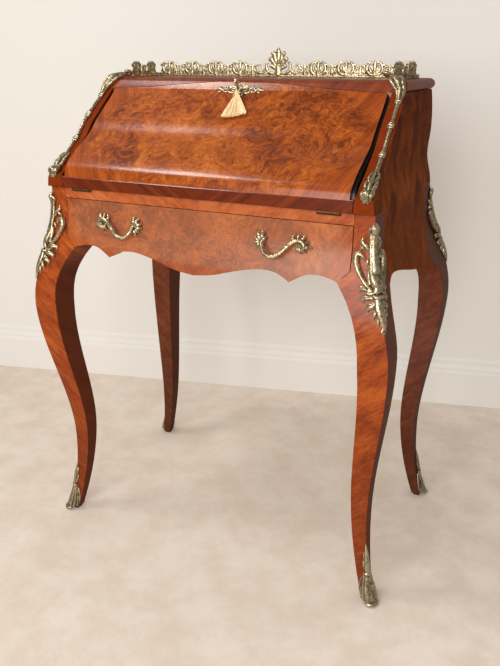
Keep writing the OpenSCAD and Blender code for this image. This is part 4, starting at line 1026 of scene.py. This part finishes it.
# %% handles
def leaf_spray(x, z, lobes):
    """Lobes from one centre: each is an angle in degrees, a length and a thickness."""
    lift = 3.5
    strokes = []
    for angle, length, thick in lobes:
        c, s = cos(radians(angle)), sin(radians(angle))
        strokes.append([(x, z, lift, thick),
                        (x + c * length * 0.55, z + s * length * 0.55, lift + 2.4, thick * 1.15),
                        (x + c * length, z + s * length, lift - 0.4, thick * 0.55)])
    return strokes


outer_lobes = [(62, 18, 4), (98, 17, 4), (-6, 21, 4), (26, 17, 3.8), (-42, 15, 3.6), (-76, 13, 3.6),
               (-112, 11, 3.2)]
inner_lobes = [(84, 16, 4), (122, 15, 4), (158, 15, 3.8), (192, 15, 3.8), (228, 14, 3.6), (262, 17, 3.4),
               (48, 11, 3.2)]
handle_strokes = leaf_spray(190, 660, outer_lobes) + leaf_spray(124, 661, inner_lobes) + [
    [(125, 663, 4, 3.6), (126.4, 657, 10, 3.6), (130.6, 648.6, 14, 3.5), (138, 642.6, 15.4, 3.5),
     (147.6, 640.6, 15.6, 3.5), (158, 645, 15, 3.5), (168, 654, 13.5, 3.7), (177, 663, 11.5, 3.9),
     (186, 668, 10, 3.8), (195, 667, 9, 3.6), (199, 660, 8.4, 3.3), (194, 653, 8, 2.2)],
    [(159, 648, 14, 2.4), (169, 657, 13, 3.4), (178, 663, 11, 2.4)],
    [(181, 664, 9, 2.2), (179, 671, 8, 2.4), (181, 677, 5, 1)],
    [(125, 660, 2, 6), (125, 660, 9, 4)],
    [(189, 660, 2, 7), (189, 660, 7, 4.6)],
]


def on_drawer(side):
    return lambda u, v, w: Vector((side * u, -out_front(v) - w, v)) * MM


cast_all(wax("handle_wax", handle_strokes, 0.7), side_seats("handle_", on_drawer), "drawer")

# %% [markdown]
# ## Escutcheon
#
# A pierced ribbon surrounds the keyhole: two rings to each side and a leaf spray at each end.

# %% escutcheon
def ring(x, z, wide, high, thick):
    """A closed oval stroke about this middle, drawn through eight points."""
    eighths = [a * pi / 4 for a in range(9)]
    return [[(x + wide * cos(a), z + high * sin(a), 1.4, thick) for a in eighths]]


ribbon = both(ring(14, 1, 8.2, 6.4, 2.1) + ring(27.5, 0, 4, 3.4, 1.5) + [
    [(5, -3, 1.4, 1.9), (11, -1, 2, 2), (15, 2.6, 1.6, 1.6), (11, 4.6, 1.4, 1)],
    [(21, 3, 1.4, 1.8), (26, 6, 1.8, 2), (31, 3, 1.4, 1.4)],
    [(31, 0, 1.4, 2.4), (38, 2.4, 2.4, 3), (47.4, 1.6, 0.8, 0.9)],
    [(35, 1, 1.6, 2), (38, 6, 1.8, 1.9), (42, 6.6, 1, 0.8)],
    [(35, 0, 1.6, 2), (39, -4, 1.8, 1.8), (43, -3.6, 1, 0.8)],
    [(6, -4, 1, 1.9), (9, -9, 1.6, 1.9), (5, -12, 1, 1)],
    [(4, 6, 1, 1.9), (7, 10.6, 1.6, 1.8), (12, 11, 0.8, 0.8)],
]) + ring(0, 0, 5.6, 6, 2) + [
    [(0, -5, 1.2, 2.2), (0, -10, 2.2, 2.6), (0, -14, 1, 1.1)],
    [(0, 6, 1.2, 2.2), (0, 11, 1.6, 1.4)],
]


def on_lock(u, v, w):
    return on_fall(u, KEY_S + v, fall_face(KEY_S + v) + w * 0.8)


cast_all(wax("ribbon_wax", ribbon, 0.6), [("escutcheon", on_lock)], "fall")
dress("key", gilt, "key", 0.3)

# %% [markdown]
# ## The silk tassel
#
# The head is a small core wound over with thread, bound at the neck. The skirt is a hundred and
# ninety fine threads that fan out and lie on the slope. Each thread is a thin four-sided tube.

# %% tassel
def threads(name, runs, radius):
    """Thin four-sided tubes, joined as one mesh."""
    only(rods(name, [[by_tassel(*spot) for spot in points] for points in runs], radius * MM, rounding=0))
    bpy.ops.object.convert(target="MESH")
    bpy.ops.object.shade_smooth()
    return bpy.context.object


random.seed(5)
SKIRT_TOP, SKIRT_END = 19.0, 69.0
THREADS = 190
THREAD_PARTS = 7
skirt_runs = []
for i in range(THREADS):
    lean = -1 + 2 * (i + random.random()) / THREADS
    layer = random.uniform(-1, 1) * sqrt(max(0.0, 1 - lean * lean * 0.8))
    end = SKIRT_END + random.uniform(-2.2, 0.6) - 3.0 * lean * lean
    wave = random.uniform(-0.7, 0.7)
    points = []
    for k in range(THREAD_PARTS + 1):
        t = k / THREAD_PARTS
        spread = 3.6 + 19.6 * t ** 0.92
        x = lean * spread + wave * sin(t * 7 + i)
        z = layer * mix(3.4, 2.0, t) - 2.6 * t
        points.append((x, mix(SKIRT_TOP, end, t), z))
    skirt_runs.append(points)
skirt = threads("silk_skirt", skirt_runs, 0.62)
HEAD_THREADS = 30
CORE_AT, CORE_R = 14.8, 3.4
head_line = [(10.6, 0.7), (11.2, 2.2), (12.8, 3.5), (CORE_AT, 3.9), (16.8, 3.4), (18.4, 2.6), (20.4, 3.3)]
head_runs = []
for i in range(HEAD_THREADS):
    angle = 2 * pi * i / HEAD_THREADS
    head_runs.append([(cos(angle) * r, y, sin(angle) * r) for y, r in head_line])
turns = [i * pi / 10 for i in range(21)]
for y in (17.6, 18.4, 19.2):
    head_runs.append([(cos(turn) * 3.2, y, sin(turn) * 3.2) for turn in turns])
head = threads("silk_head", head_runs, 0.55)
bpy.ops.mesh.primitive_uv_sphere_add(segments=20, ring_count=12, radius=CORE_R * MM,
                                     location=by_tassel(0, CORE_AT, 0))
only(head, bpy.context.object)
bpy.ops.object.join()
for piece, node in ((skirt, "tassel_skirt"), (head, "tassel_head"), (tassel_cord, "tassel_cord")):
    hand_over(piece, thread, "tassel", node)
tuple(cord_points[0])
print("tassel threads:", len(skirt_runs))

# %% [markdown]
# ## The room
#
# A mottled pale floor and a plain wall. The wall is seen from the front only: from behind it is
# clear, so that the desk's back can be looked at. Polished wood shows both much darker than they
# are, as if the rest of the room were dim. A wide soft light stands in front of the desk, a small
# one high at the left puts the highlight on the fall, and a pale world fills the shadows.

# %% room
def matt(name, colour, rough=0.85, worn=0.0):
    """A matt pale surface; worn is how strongly it is mottled."""
    finish = Finish(name)
    cloud = finish.noise(scale=1.3, detail=3.0)
    pale = finish.blend(cloud * 0.25, colour, [v * 0.968 for v in colour])
    if worn:
        patches = finish.noise(scale=9.0, detail=8.0, roughness=0.7)
        pale = finish.blend(patches.rise(0.36, 0.64) * worn, pale, (212, 193, 172))
    mirrored = finish.node("LightPath", out="Is Glossy Ray")
    pale = finish.blend(mirrored * 0.7, pale, (60, 50, 42))
    finish.set(pale, rough, Specular_IOR_Level=0.2)
    return finish


floor_finish = matt("pale_floor", (238, 225, 212), rough=0.8, worn=0.5)
wall_finish = matt("pale_wall", (235, 232, 226))
behind = wall_finish.node("NewGeometry", out="Backfacing")
clear = wall_finish.node("BsdfTransparent")
painted = Tone(wall_finish, wall_finish.shader.outputs[0])
shown = wall_finish.node("MixShader", behind, painted, clear)
wall_finish.plug(wall_finish.tree.nodes["Material Output"].inputs[0], shown)
bpy.ops.object.select_all(action="DESELECT")
bpy.ops.mesh.primitive_plane_add(size=9, location=(0, 0, 0))
floor = bpy.context.object
floor.name = "floor"
wear(floor, floor_finish.material)
bpy.ops.mesh.primitive_plane_add(size=1, location=(0, 0, 0))
wall = bpy.context.object
wall.name = "wall"
wall_line = Vector((1.531, 0.399, 0)).normalized()
wall_foot = Vector((-1.082, 0.336, 0))
out = Vector((wall_line.y, -wall_line.x, 0))
skirting = [(0.016, 0), (0.016, 0.098), (0.012, 0.106), (0.012, 0.112), (0.006, 0.122), (0.006, 0.132),
            (0.0, 0.14), (0, 4)]
count = len(skirting)
ends = [wall_foot + wall_line * along + out * depth + Vector((0, 0, height))
        for along in (-3, 6) for depth, height in skirting]
wall.data.clear_geometry()
wall.data.from_pydata(ends, [], [(i, i + count, i + count + 1, i + 1) for i in range(count - 1)])
wear(wall, wall_finish.material)


def lamp(name, place, aim, size, power, spread=180):
    """A soft rectangular light; a small spread keeps its beam together."""
    light = bpy.data.lights.new(name, "AREA")
    light.shape = "RECTANGLE"
    light.size, light.size_y = size
    light.energy = power
    light.spread = radians(spread)
    light.color = (1, 0.985, 0.96)
    thing = placed(name, light)
    thing.location = place
    thing.rotation_euler = (Vector(place) - Vector(aim)).to_track_quat("Z", "Y").to_euler()


lamp("softbox", (0.1, -2.9, 1.45), aim=(0, 0, 0.45), size=(2.2, 1.5), power=61)
lamp("overhead", (-0.98, -0.64, 2.3), aim=(-0.04, -0.18, 0.77), size=(0.55, 0.42), power=3.0, spread=90)
WORLD_LIGHT, WORLD_IN_POLISH = 0.53, 0.08
world = bpy.data.worlds.new("pale_room")
world.use_nodes = True
air = world.node_tree
ray = air.nodes.new("ShaderNodeLightPath")
dimmed = air.nodes.new("ShaderNodeMapRange")
dimmed.inputs["To Min"].default_value = WORLD_LIGHT
dimmed.inputs["To Max"].default_value = WORLD_IN_POLISH
air.links.new(ray.outputs["Is Glossy Ray"], dimmed.inputs["Value"])
air.nodes["Background"].inputs[0].default_value = (1.0, 0.98, 0.96, 1)
air.links.new(dimmed.outputs["Result"], air.nodes["Background"].inputs[1])
bpy.context.scene.world = world
bpy.context.scene.view_settings.view_transform = "Standard"
print("room lit")

# %% [markdown]
# ## The end

# %% finish
print("scene ready")
